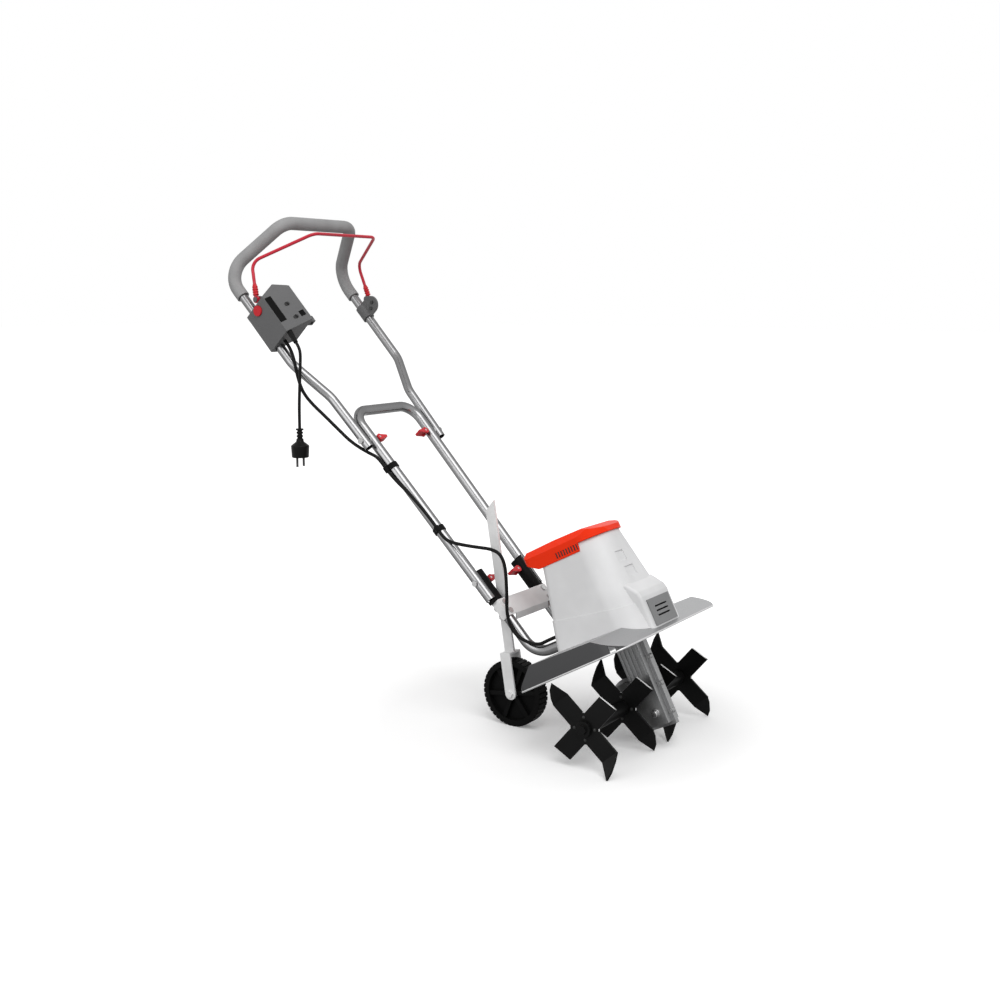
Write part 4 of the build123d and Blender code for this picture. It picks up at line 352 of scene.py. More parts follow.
def grain_group():
    """Fine surface grain and a slow change of shade."""
    group, enter, leave = open_group("Grain", [("Scale", 900.0), ("Drift", 9.0)], ["Height", "Shade"])
    where = add_node(group, "ShaderNodeTexCoord", (-4, 2))
    fine = add_node(group, "ShaderNodeTexNoise", (-1, 1))
    fine.inputs["Detail"].default_value = 4
    slow = add_node(group, "ShaderNodeTexNoise", (-1, -1))
    slow.inputs["Detail"].default_value = 3
    link(
        group,
        (where.outputs["Object"], fine.inputs["Vector"]),
        (where.outputs["Object"], slow.inputs["Vector"]),
        (enter.outputs["Scale"], fine.inputs["Scale"]),
        (enter.outputs["Drift"], slow.inputs["Scale"]),
        (fine.outputs["Fac"], leave.inputs["Height"]),
        (slow.outputs["Fac"], leave.inputs["Shade"]),
    )
    return group


def wear_group():
    """A mask along the sharp edges, broken up by noise."""
    group, enter, leave = open_group("Edge wear", [("Radius", 0.001), ("Amount", 0.5)], ["Mask"])
    where = add_node(group, "ShaderNodeTexCoord", (-4, 3))
    soft = add_node(group, "ShaderNodeBevel", (-3, 0), samples=4)
    true = add_node(group, "ShaderNodeNewGeometry", (-3, -2))
    turn = add_node(group, "ShaderNodeVectorMath", (-2, -1), operation="DOT_PRODUCT")
    edge = add_node(group, "ShaderNodeMapRange", (-1, -1))
    edge.inputs["From Min"].default_value = 0.995
    edge.inputs["From Max"].default_value = 0.85
    noise = add_node(group, "ShaderNodeTexNoise", (-2, 2))
    noise.inputs["Scale"].default_value = 160
    broken = add_node(group, "ShaderNodeMapRange", (-1, 2))
    broken.inputs["From Min"].default_value = 0.35
    broken.inputs["From Max"].default_value = 0.62
    both = add_node(group, "ShaderNodeMath", (1, 0), operation="MULTIPLY")
    scaled = add_node(group, "ShaderNodeMath", (2, 0), operation="MULTIPLY")
    link(
        group,
        (enter.outputs["Radius"], soft.inputs["Radius"]),
        (soft.outputs["Normal"], turn.inputs[0]),
        (true.outputs["Normal"], turn.inputs[1]),
        (turn.outputs["Value"], edge.inputs["Value"]),
        (where.outputs["Object"], noise.inputs["Vector"]),
        (noise.outputs["Fac"], broken.inputs["Value"]),
        (edge.outputs["Result"], both.inputs[0]),
        (broken.outputs["Result"], both.inputs[1]),
        (both.outputs["Value"], scaled.inputs[0]),
        (enter.outputs["Amount"], scaled.inputs[1]),
        (scaled.outputs["Value"], leave.inputs["Mask"]),
    )
    return group


def spangle_group():
    """Crystal patches of zinc or cast metal, with fine scratches over them."""
    group, enter, leave = open_group("Spangle", [("Scale", 120.0)], ["Patch", "Scratch"])
    where = add_node(group, "ShaderNodeTexCoord", (-4, 2))
    patch = add_node(group, "ShaderNodeTexVoronoi", (-1, 1), feature="F1")
    fine = add_node(group, "ShaderNodeTexNoise", (-1, -1))
    fine.inputs["Scale"].default_value = 420
    fine.inputs["Detail"].default_value = 6
    grey = add_node(group, "ShaderNodeSeparateColor", (1, 1))
    link(
        group,
        (where.outputs["Object"], patch.inputs["Vector"]),
        (where.outputs["Object"], fine.inputs["Vector"]),
        (enter.outputs["Scale"], patch.inputs["Scale"]),
        (patch.outputs["Color"], grey.inputs["Color"]),
        (grey.outputs["Red"], leave.inputs["Patch"]),
        (fine.outputs["Fac"], leave.inputs["Scratch"]),
    )
    return group


def group_node(tree, name, spot, **values):
    """A shared group placed in a material with its own values."""
    made = add_node(tree, "ShaderNodeGroup", spot)
    made.node_tree = bpy.data.node_groups[name]
    for socket, value in values.items():
        made.inputs[socket].default_value = value
    return made


def shade(value, factor):
    """A colour made lighter or darker."""
    return tuple(min(1.0, part * factor) for part in value) + (1.0,)


def tone(tree, spot, driver, first, second, low=0.35, high=0.65):
    """A colour that runs from one shade to another as the driver goes from low to high."""
    ramp = add_node(tree, "ShaderNodeValToRGB", spot)
    ramp.color_ramp.elements[0].position = low
    ramp.color_ramp.elements[0].color = first
    ramp.color_ramp.elements[1].position = high
    ramp.color_ramp.elements[1].color = second
    tree.links.new(driver, ramp.inputs["Fac"])
    return ramp.outputs["Color"]


def spread(tree, spot, driver, first, second, low=0.3, high=0.7):
    """A value that runs from first to second as the driver goes from low to high."""
    made = add_node(tree, "ShaderNodeMapRange", spot)
    made.inputs["From Min"].default_value = low
    made.inputs["From Max"].default_value = high
    made.inputs["To Min"].default_value = first
    made.inputs["To Max"].default_value = second
    tree.links.new(driver, made.inputs["Value"])
    return made.outputs["Result"]


def new_finish(name):
    """An empty material and its shader."""
    material = bpy.data.materials.new(name)
    material.use_nodes = True
    return material, material.node_tree, material.node_tree.nodes["Principled BSDF"]


def bumped(tree, shader, height, distance, radius):
    """Bump from a height over edges rounded by a small radius."""
    soft = add_node(tree, "ShaderNodeBevel", (-3, -5), samples=4)
    soft.inputs["Radius"].default_value = radius
    bump = add_node(tree, "ShaderNodeBump", (-1, -4))
    bump.inputs["Strength"].default_value = 1.0
    bump.inputs["Distance"].default_value = distance
    link(
        tree,
        (height, bump.inputs["Height"]),
        (soft.outputs["Normal"], bump.inputs["Normal"]),
        (bump.outputs["Normal"], shader.inputs["Normal"]),
    )


def overlaid(tree, shader, spot, body, mask, second):
    """Shows the body's colour, and a second one where the mask is full."""
    mixed = add_node(tree, "ShaderNodeMix", spot, data_type="RGBA")
    mixed.inputs["B"].default_value = second
    link(
        tree,
        (mask, mixed.inputs["Factor"]),
        (body, mixed.inputs["A"]),
        (mixed.outputs["Result"], shader.inputs["Base Color"]),
    )


def roughened(tree, shader, driver, gloss, change):
    """Lets the roughness run a little below and above its value."""
    rough = spread(tree, (-3, -1), driver, gloss + change[0], gloss + change[1])
    tree.links.new(rough, shader.inputs["Roughness"])


def plastic(name, base, gloss, grain, depth, radius, worn=0.25, drift=9.0, shine=0.4):
    """Moulded plastic or rubber: fine grain, a little drift of shade, pale rubbed edges."""
    material, tree, shader = new_finish(name)
    fine = group_node(tree, "Grain", (-5, 0), Scale=grain, Drift=drift)
    edge = group_node(tree, "Edge wear", (-5, -3), Radius=radius, Amount=worn)
    ends = [shade(base, factor) for factor in PLASTIC_SHADES]
    body = tone(tree, (-3, 1), fine.outputs["Shade"], *ends)
    pale_edge = shade([part * RUB_KEEP + RUB_PALE for part in base], RUB_LIFT)
    overlaid(tree, shader, (-1, 1), body, edge.outputs["Mask"], pale_edge)
    roughened(tree, shader, fine.outputs["Shade"], gloss, PLASTIC_ROUGH)
    shader.inputs["Specular IOR Level"].default_value = shine
    bumped(tree, shader, fine.outputs["Height"], depth, radius)
    return material


def metal(name, base, gloss, patch, depth, radius, metallic=1.0, worn=0.2, mottle=0.09, pale_edge=1.3):
    """Bare or plated metal: crystal patches, fine scratches and brighter edges."""
    material, tree, shader = new_finish(name)
    crystal = group_node(tree, "Spangle", (-5, 0), Scale=patch)
    edge = group_node(tree, "Edge wear", (-5, -3), Radius=radius, Amount=worn)
    ends = shade(base, 1 - mottle), shade(base, 1 + mottle)
    body = tone(tree, (-3, 1), crystal.outputs["Patch"], *ends, low=0.0, high=1.0)
    overlaid(tree, shader, (-1, 1), body, edge.outputs["Mask"], shade(base, pale_edge))
    roughened(tree, shader, crystal.outputs["Scratch"], gloss, METAL_ROUGH)
    shader.inputs["Metallic"].default_value = metallic
    bumped(tree, shader, crystal.outputs["Scratch"], depth, radius)
    return material


def painted(name, base, gloss, bare, radius, worn, depth=0.00004, shine=0.4):
    """Paint over steel: faint orange peel, and bare metal where edges have rubbed."""
    material, tree, shader = new_finish(name)
    fine = group_node(tree, "Grain", (-5, 0), Scale=PAINT_GRAIN, Drift=PAINT_DRIFT)
    edge = group_node(tree, "Edge wear", (-5, -3), Radius=radius, Amount=worn)
    ends = [shade(base, factor) for factor in PAINT_SHADES]
    body = tone(tree, (-3, 1), fine.outputs["Shade"], *ends)
    overlaid(tree, shader, (-1, 1), body, edge.outputs["Mask"], (*bare, 1.0))
    tree.links.new(edge.outputs["Mask"], shader.inputs["Metallic"])
    roughened(tree, shader, fine.outputs["Shade"], gloss, PAINT_ROUGH)
    shader.inputs["Specular IOR Level"].default_value = shine
    bumped(tree, shader, fine.outputs["Height"], depth, radius)
    return material


def opened(material):
    """A finish's tree, its shader and the colour that it has so far."""
    tree = material.node_tree
    shader = tree.nodes["Principled BSDF"]
    return tree, shader, shader.inputs["Base Color"].links[0].from_socket


def shadowed(material, sides, low=0.15, high=0.85):
    """Paints shade into a finish where the surface turns away from the camera, the dark flanks that round
    bright metal shows in a pale room.
    """
    tree, shader, body = opened(material)
    turn = add_node(tree, "ShaderNodeLayerWeight", (-5, 4))
    dark = tone(tree, (-3, 4), turn.outputs["Facing"], WHITE, (sides, sides, sides, 1), low, high)
    both = add_node(tree, "ShaderNodeMix", (0, 3), data_type="RGBA", blend_type="MULTIPLY")
    both.inputs["Factor"].default_value = 1.0
    link(
        tree,
        (body, both.inputs["A"]),
        (dark, both.inputs["B"]),
        (both.outputs["Result"], shader.inputs["Base Color"]),
    )


def bright_ends(material, ends):
    """Pale ends on the faces that look straight out from the tine shaft: partly bare cut metal, partly
    painted highlight.
    """
    tree, shader, body = opened(material)
    where = add_node(tree, "ShaderNodeTexCoord", (-7, 6))
    arm = add_node(tree, "ShaderNodeVectorMath", (-6, 6), operation="SUBTRACT")
    arm.inputs[1].default_value = TINE_AXLE
    flat = add_node(tree, "ShaderNodeVectorMath", (-5, 6), operation="MULTIPLY")
    flat.inputs[1].default_value = (0, 1, 1)
    out = add_node(tree, "ShaderNodeVectorMath", (-4, 6), operation="NORMALIZE")
    look = add_node(tree, "ShaderNodeVectorMath", (-3, 6), operation="DOT_PRODUCT")
    link(
        tree,
        (where.outputs["Object"], arm.inputs[0]),
        (arm.outputs["Vector"], flat.inputs[0]),
        (flat.outputs["Vector"], out.inputs[0]),
        (out.outputs["Vector"], look.inputs[0]),
        (where.outputs["Normal"], look.inputs[1]),
    )
    mask = spread(tree, (-2, 6), look.outputs["Value"], 0.0, 1.0, *END_TURN)
    overlaid(tree, shader, (0, 5), body, mask, (*ends, 1.0))


def painted_side_shade(material, dark):
    """Paints shade on the faces that look straight out to the left or right, the dark of the guard's end
    walls that lie in shade.
    """
    tree, shader, body = opened(material)
    where = add_node(tree, "ShaderNodeTexCoord", (-6, 6))
    parts = add_node(tree, "ShaderNodeSeparateXYZ", (-5, 6))
    size = add_node(tree, "ShaderNodeMath", (-4, 6), operation="ABSOLUTE")
    link(
        tree,
        (where.outputs["Normal"], parts.inputs["Vector"]),
        (parts.outputs["X"], size.inputs[0]),
    )
    mask = spread(tree, (-2, 6), size.outputs["Value"], 0.0, 1.0, *SIDE_SHADE_TURN)
    overlaid(tree, shader, (0, 5), body, mask, (*dark, 1.0))


# Modelling helpers


def deselect():
    """Leaves edit mode and selects nothing, so that an operator acts on the new piece alone."""
    if bpy.context.mode != "OBJECT":
        bpy.ops.object.mode_set(mode="OBJECT")
    bpy.ops.object.select_all(action="DESELECT")


def pick(piece):
    """Makes one piece the active and only selected one."""
    deselect()
    piece.select_set(True)
    bpy.context.view_layer.objects.active = piece


def dress(piece, material):
    """Gives a piece one finish."""
    piece.data.materials.clear()
    piece.data.materials.append(material)


def apply_all(piece):
    """Applies every modifier of a piece in order."""
    pick(piece)
    for modifier in list(piece.modifiers):
        bpy.ops.object.modifier_apply(modifier=modifier.name)


def new_curve(name, kind, points=()):
    """A curve with one spline of that kind, through the points if any are given."""
    deselect()
    bpy.ops.curve.primitive_bezier_curve_add()
    piece = bpy.context.object
    piece.name = name
    curve = piece.data
    curve.splines.clear()
    curve.dimensions = "3D"
    spline = curve.splines.new(kind)
    if points:
        spline.points.add(len(points) - 1)
    for point, spot in zip(spline.points, points):
        point.co = (*spot, 1.0)
    return piece, curve, spline


def smooth_line(name, points, radius):
    """A round lead on a NURBS spline with the route's points as control points."""
    lead, curve, spline = new_curve(name, "NURBS", points)
    spline.order_u = 3
    spline.use_endpoint_u = True
    spline.resolution_u = 12
    curve.bevel_depth = radius
    curve.bevel_resolution = 6
    curve.use_fill_caps = True
    return lead


def ring_line(name, points, radius):
    """A round bead on a closed line."""
    bead, curve, spline = new_curve(name, "POLY", points)
    spline.use_cyclic_u = True
    curve.bevel_depth = radius
    curve.bevel_resolution = 4
    return bead


def bent_line(name, points, radii, outer):
    """A round bar along straight runs, with a true bend of the given radius at each corner."""
    bar, curve, spline = new_curve(name, "BEZIER")
    spots = [Vector(point) for point in points]
    first, last = (spots[1] - spots[0]).normalized(), (spots[-2] - spots[-1]).normalized()
    stations = [(spots[0], Vector((0, 0, 0)), first * STRAIGHT_PULL)]
    for before, at, after, radius in zip(spots, spots[1:], spots[2:], radii):
        arrive = (at - before).normalized()
        depart = (after - at).normalized()
        turn = arrive.angle(depart)
        back = radius * tan(turn / 2)
        reach = radius * 4 / 3 * tan(turn / 4)
        stations.append((at - arrive * back, arrive * -STRAIGHT_PULL, arrive * reach))
        stations.append((at + depart * back, depart * -reach, depart * STRAIGHT_PULL))
    stations.append((spots[-1], last * STRAIGHT_PULL, Vector((0, 0, 0))))
    spline.bezier_points.add(len(stations) - 1)
    for knot, (spot, left, right) in zip(spline.bezier_points, stations):
        knot.handle_left_type = "FREE"
        knot.handle_right_type = "FREE"
        knot.co = spot
        knot.handle_left = spot + left
        knot.handle_right = spot + right
    spline.resolution_u = 24
    curve.bevel_depth = outer
    curve.bevel_resolution = 10
    return bar


def lathed(name, profile, steps=48):
    """A round piece about Z from a profile of radii and heights in millimetres."""
    spots = [(radius / MM, 0, height / MM) for radius, height in profile]
    piece = new_curve(name, "POLY", spots)[0]
    pick(piece)
    bpy.ops.object.convert(target="MESH")
    spin = piece.modifiers.new("Spin", "SCREW")
    spin.steps = steps
    spin.render_steps = steps
    spin.use_merge_vertices = True
    spin.merge_threshold = WELD
    apply_all(piece)
    bpy.ops.object.mode_set(mode="EDIT")
    bpy.ops.mesh.select_all(action="SELECT")
    bpy.ops.mesh.normals_make_consistent(inside=False)
    bpy.ops.object.mode_set(mode="OBJECT")
    bpy.ops.object.shade_smooth_by_angle(angle=FACET_ANGLE)
    return piece


def placed(piece, spot, axis=(0, 0, 1), along=None):
    """Stands a finished piece at a spot with its Z on an axis, and its Y along another if given."""
    pick(piece)
    piece.location = spot
    up = Vector(axis).normalized()
    turn = up.to_track_quat("Z", "Y")
    if along:
        run = Vector(along).normalized()
        turn = Matrix((run.cross(up), run, up)).transposed().to_quaternion()
    piece.rotation_euler = turn.to_euler()
    bpy.ops.object.transform_apply(location=True, rotation=True, scale=True)
    return piece


def plate(name, size, rounding):
    """A small plate with softened edges, its size in millimetres."""
    deselect()
    bpy.ops.mesh.primitive_cube_add(size=1)
    piece = bpy.context.object
    piece.name = name
    piece.scale = [part / MM for part in size]
    bpy.ops.object.transform_apply(scale=True)
    soft = piece.modifiers.new("Soft", "BEVEL")
    soft.width = rounding / MM
    soft.segments = 3
    apply_all(piece)
    bpy.ops.object.shade_smooth_by_angle(angle=FACET_ANGLE)
    return piece


def on_body(x, back, up):
    """A point given across, back from the tine axle and up from it along the tilted body, in millimetres."""
    tilt = radians(BODY_TILT)
    y = TINE_AXLE[1] + (back * cos(tilt) + up * sin(tilt)) / MM
    z = TINE_AXLE[2] + (up * cos(tilt) - back * sin(tilt)) / MM
    return Vector((x / MM, y, z))


def joined(name, pieces):
    """Several pieces as one."""
    pick(pieces[0])
    for piece in pieces:
        piece.select_set(True)
    bpy.ops.object.join()
    whole = bpy.context.object
    whole.name = name
    return whole


def to_mesh(piece):
    """Turns a curve into a mesh with smooth sides."""
    pick(piece)
    bpy.ops.object.convert(target="MESH")
    bpy.ops.object.shade_smooth_by_angle(angle=CURVE_ANGLE)
    return piece


class TILLER_OT_finishes(bpy.types.Operator):
    """Makes the shared shader groups and gives every frame piece its finish"""

    bl_idname = "tiller.finishes"
    bl_label = "Finishes"

    def execute(self, context):
        shades = context.scene.tiller_colours
        grain_group()
        wear_group()
        spangle_group()
        made = {
            "housing": plastic(
                "housing_plastic", shades.housing,
                gloss=0.45, grain=1400.0, depth=0.00003, radius=0.0012, worn=0.3,
            ),
            "cover": plastic(
                "cover_plastic", shades.cover,
                gloss=0.4, grain=1400.0, depth=0.00003, radius=0.0012, worn=0.1, shine=0.12,
            ),
            "lever": plastic(
                "lever_plastic", shades.lever,
                gloss=0.4, grain=1400.0, depth=0.00003, radius=0.0008, worn=0.15, shine=0.3,
            ),
            "grille": plastic(
                "grille_plastic", shades.grille,
                gloss=0.5, grain=1200.0, depth=0.00005, radius=0.0008,
            ),
            "box": plastic(
                "box_plastic", shades.switch_box,
                gloss=0.5, grain=1000.0, depth=0.00006, radius=0.001, worn=0.2, shine=0.3,
            ),
            "foam": plastic(
                "grip_foam", shades.foam,
                gloss=0.9, grain=700.0, depth=0.00025, radius=0.001, worn=0.0, drift=30.0, shine=0.15,
            ),
            "black": plastic(
                "black_plastic", shades.black,
                gloss=0.5, grain=900.0, depth=0.00006, radius=0.0008, worn=0.0, shine=0.06,
            ),
            "rubber": plastic(
                "lead_rubber", shades.rubber,
                gloss=0.4, grain=800.0, depth=0.00004, radius=0.0005, worn=0.0, shine=0.12,
            ),
            "label": plastic(
                "label_film", shades.black,
                gloss=0.5, grain=600.0, depth=0.00001, radius=0.0002, worn=0.0, shine=0.05,
            ),
            "zinc": metal(
                "tube_zinc", shades.zinc,
                gloss=0.22, patch=260.0, depth=1e-6, radius=0.0006, mottle=0.03,
            ),
            "bracket": painted(
                "bracket_paint", shades.bracket,
                gloss=0.45, bare=BARE_BRACKET, radius=0.0008, worn=0.3,
            ),
            "alloy": metal(
                "cast_alloy", shades.alloy,
                gloss=0.4, patch=700.0, depth=0.00006, radius=0.001, metallic=0.9, worn=0.6,
            ),
            "steel": metal(
                "bolt_steel", shades.steel,
                gloss=0.3, patch=500.0, depth=0.00002, radius=0.0004,
            ),
            "dark": metal(
                "dark_steel", DARK_STEEL,
                gloss=0.4, patch=500.0, depth=0.00002, radius=0.0004, metallic=0.6,
            ),
            "brass": metal(
                "brass", BRASS,
                gloss=0.3, patch=500.0, depth=0.00002, radius=0.0004,
            ),
            "copper": metal(
                "copper_wire", COPPER,
                gloss=0.35, patch=500.0, depth=0.00004, radius=0.0004,
            ),
            # The guard's pale edges are partly wear and partly painted highlight, the light rim that its
            # folds catch
            "guard": metal(
                "guard_silver", shades.guard,
                gloss=0.38, patch=900.0, depth=1e-6, radius=0.0005, metallic=0.85, worn=0.6,
                mottle=0.02, pale_edge=1.7,
            ),
            "hem": metal(
                "hem_highlight_silver", HEM_HIGHLIGHT_SILVER,
                gloss=0.35, patch=900.0, depth=1e-6, radius=0.0003, metallic=0.9,
            ),
            "tine": painted(
                "tine_paint", shades.tine,
                gloss=0.42, bare=BARE_TINE, radius=0.0008, worn=0.1, shine=0.12,
            ),
            "hub": painted(
                "hub_paint_and_hole_shade", shades.tine,
                gloss=0.42, bare=BARE_TINE, radius=0.0008, worn=0.1, shine=0.12,
            ),
            "bail": painted(
                "bail_coating", shades.bail,
                gloss=0.36, bare=BARE_BAIL, radius=0.0006, worn=0.05, shine=0.35,
            ),
        }
        # Painted shade on the flanks of the zinc tubes and the cast gearbox
        shadowed(made["zinc"], TUBE_PAINTED_SHADE)
        shadowed(made["alloy"], CAST_PAINTED_SHADE)
        # Pale tine ends in the bracket's colour, partly bare cut metal and partly painted highlight
        bright_ends(made["tine"], shades.bracket)
        # Painted shade on the guard's end walls
        painted_side_shade(made["guard"], GUARD_END_SHADE)
        for finish, names in WEARERS.items():
            for name in names:
                dress(NODES[name], made[finish])
        return {"FINISHED"}


class TILLER_OT_mains_lead(bpy.types.Operator):
    """Hangs the short mains lead from the switch box down to its plug"""

    bl_idname = "tiller.mains_lead"
    bl_label = "Mains lead"

    def execute(self, context):
        sizes = context.scene.tiller_sizes
        lead = smooth_line("mains_cord", MAINS_ROUTE, sizes.mains_diameter / 2)
        dress(lead, bpy.data.materials["lead_rubber"])
        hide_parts("mains_lead")
        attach(lead, "handle_upper")
        return {"FINISHED"}


class TILLER_OT_plug(bpy.types.Operator):
    """Moulds the mains plug with its ribbed neck"""

    bl_idname = "tiller.plug"
    bl_label = "Plug"

    def execute(self, context):
        plug = placed(lathed("mains_plug", PLUG_PROFILE), MAINS_ROUTE[-1])
        dress(plug, bpy.data.materials["lead_rubber"])
        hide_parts("plug_body")
        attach(plug, "handle_upper")
        return {"FINISHED"}


class TILLER_OT_bail_boots(bpy.types.Operator):
    """Moulds the ribbed red boots on the bail's ends"""

    bl_idname = "tiller.bail_boots"
    bl_label = "Bail boots"

    def execute(self, context):
        boots = []
        for side in (-1, 1):
            eye = Vector((side * BAIL_EYE[0], *BAIL_EYE[1:]))
            elbow = Vector((side * BAIL_ELBOW[0], *BAIL_ELBOW[1:]))
            boots.append(placed(lathed("boot", BOOT_PROFILE), eye, elbow - eye))
        pair = joined("ribbed_boots", boots)
        dress(pair, bpy.data.materials["lever_plastic"])
        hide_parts("bail_boots")
        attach(pair, "bail")
        return {"FINISHED"}


class TILLER_OT_star_bolts(bpy.types.Operator):
    """Bolts every tine star to its hub with four small bolts"""

    bl_idname = "tiller.star_bolts"
    bl_label = "Star bolts"

    def execute(self, context):
        sizes = context.scene.tiller_sizes
        bolts = []
        for x in STAR_PLACES:
            outward = 1 if x > 0 else -1
            for place in range(BOLT_COUNT):
                turn = radians(BOLT_TURN + 360 / BOLT_COUNT * place)
                spot = (
                    x + outward * STAR_FACE,
                    TINE_AXLE[1] - sizes.bolt_ring * cos(turn),
                    TINE_AXLE[2] + sizes.bolt_ring * sin(turn),
                )
                bolts.append(placed(lathed("bolt", BOLT_PROFILE, BOLT_STEPS), spot, (outward, 0, 0)))
        heads = joined("star_bolts", bolts)
        dress(heads, bpy.data.materials["dark_steel"])
        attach(heads, "tine_axle")
        return {"FINISHED"}


class TILLER_OT_gearbox_cap(bpy.types.Operator):
    """Sets the round filler cap on the gearbox's near side"""

    bl_idname = "tiller.gearbox_cap"
    bl_label = "Gearbox cap"

    def execute(self, context):
        cap = placed(lathed("gearbox_cap", CAP_PROFILE), CAP_SPOT, (-1, 0, 0))
        dress(cap, bpy.data.materials["bolt_steel"])
        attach(cap, "chassis")
        return {"FINISHED"}


class TILLER_OT_guard_hem(bpy.types.Operator):
    """Rolls a bead along the guard's lower edge"""

    bl_idname = "tiller.guard_hem"
    bl_label = "Guard hem"

    def execute(self, context):
        (front, front_up), (back, back_up) = GUARD_FRONT, GUARD_BACK
        spots = []
        for quarter, (side, rear) in enumerate(((1, 1), (-1, 1), (-1, -1), (1, -1))):
            radius = GUARD_CORNERS[1] if rear > 0 else GUARD_CORNERS[0]
            end = back if rear > 0 else front
            for step in range(HEM_STEPS + 1):
                turn = radians(90 * (quarter + step / HEM_STEPS))
                x = side * (GUARD_SIDE - radius) + radius * cos(turn)
                run = end - rear * radius + radius * sin(turn)
                up = back_up + (front_up - back_up) * (back - run) / (back - front)
                spots.append(on_body(x, run, up))
        hem = to_mesh(ring_line("guard_hem", spots, HEM_R / MM))
        # The bead wears the paler silver, a painted highlight of the rolled edge
        dress(hem, bpy.data.materials["hem_highlight_silver"])
        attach(hem, "chassis")
        return {"FINISHED"}


class TILLER_OT_vent_shade_plates(bpy.types.Operator):
    """Sets black plates into the cover's vents, painted shade for the dark inside of the slots"""

    bl_idname = "tiller.vent_screens"
    bl_label = "Vent screens"

    def execute(self, context):
        x, back, up = VENT_SHADE_SPOT
        run = on_body(0, 1, 0) - on_body(0, 0, 0)
        shade_plates = []
        for side in (-1, 1):
            shade_plate = plate("shade_plate", VENT_SHADE_SIZE, VENT_SHADE_ROUNDING)
            shade_plates.append(placed(shade_plate, on_body(side * x, back, up), (side, 0, 0), run))
        pair = joined("vent_screens", shade_plates)
        dress(pair, bpy.data.materials["black_plastic"])
        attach(pair, "chassis")
        return {"FINISHED"}


class TILLER_OT_lid_window(bpy.types.Operator):
    """Sets the dark window into the lid of the switch box"""

    bl_idname = "tiller.lid_window"
    bl_label = "Lid window"

    def execute(self, context):
        window = placed(plate("lid_window", WINDOW_SIZE, WINDOW_ROUNDING), WINDOW_SPOT, LID_FACE, LID_RUN)
        dress(window, bpy.data.materials["label_film"])
        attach(window, "handle_upper")
        return {"FINISHED"}


class TILLER_OT_motor_lead(bpy.types.Operator):
    """Runs the motor lead along the handle in three pieces, split where the handle tilts and folds, the
    middle one riding on the lower handle
    """

    bl_idname = "tiller.motor_lead"
    bl_label = "Motor lead"

    def execute(self, context):
        radius = context.scene.tiller_sizes.motor_diameter / 2
        rubber = bpy.data.materials["lead_rubber"]
        upper = to_mesh(smooth_line("motor_cable_upper", UPPER_ROUTE, radius))
        middle = to_mesh(smooth_line("motor_cable_middle", MIDDLE_ROUTE, radius))
        lower = to_mesh(smooth_line("motor_cable_lower", LOWER_ROUTE, radius))
        for cable, place in ((upper, "upper"), (middle, "middle"), (lower, "lower")):
            dress(cable, rubber)
            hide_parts(f"motor_lead_{place}")
        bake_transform(upper)
        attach(middle, "handle_lower")
        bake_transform(lower)
        return {"FINISHED"}


class TILLER_OT_foam_grip(bpy.types.Operator):
    """Makes the soft foam sleeve over the grip loop"""

    bl_idname = "tiller.foam_grip"
    bl_label = "Foam grip"

    def execute(self, context):
        sizes = context.scene.tiller_sizes
        grip = bent_line("foam_grip", FOAM_ROUTE, FOAM_BENDS, sizes.foam_radius)
        to_mesh(grip)
        wall = grip.modifiers.new("Wall", "SOLIDIFY")
        wall.thickness = sizes.foam_wall
        wall.offset = -1
        rim = grip.modifiers.new("Rim", "BEVEL")
        rim.width = FOAM_RIM
        rim.segments = 3
        rim.angle_limit = FOAM_RIM_ANGLE
        apply_all(grip)
        dress(grip, bpy.data.materials["grip_foam"])
        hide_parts("grip_foam")
        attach(grip, "handle_upper")
        return {"FINISHED"}


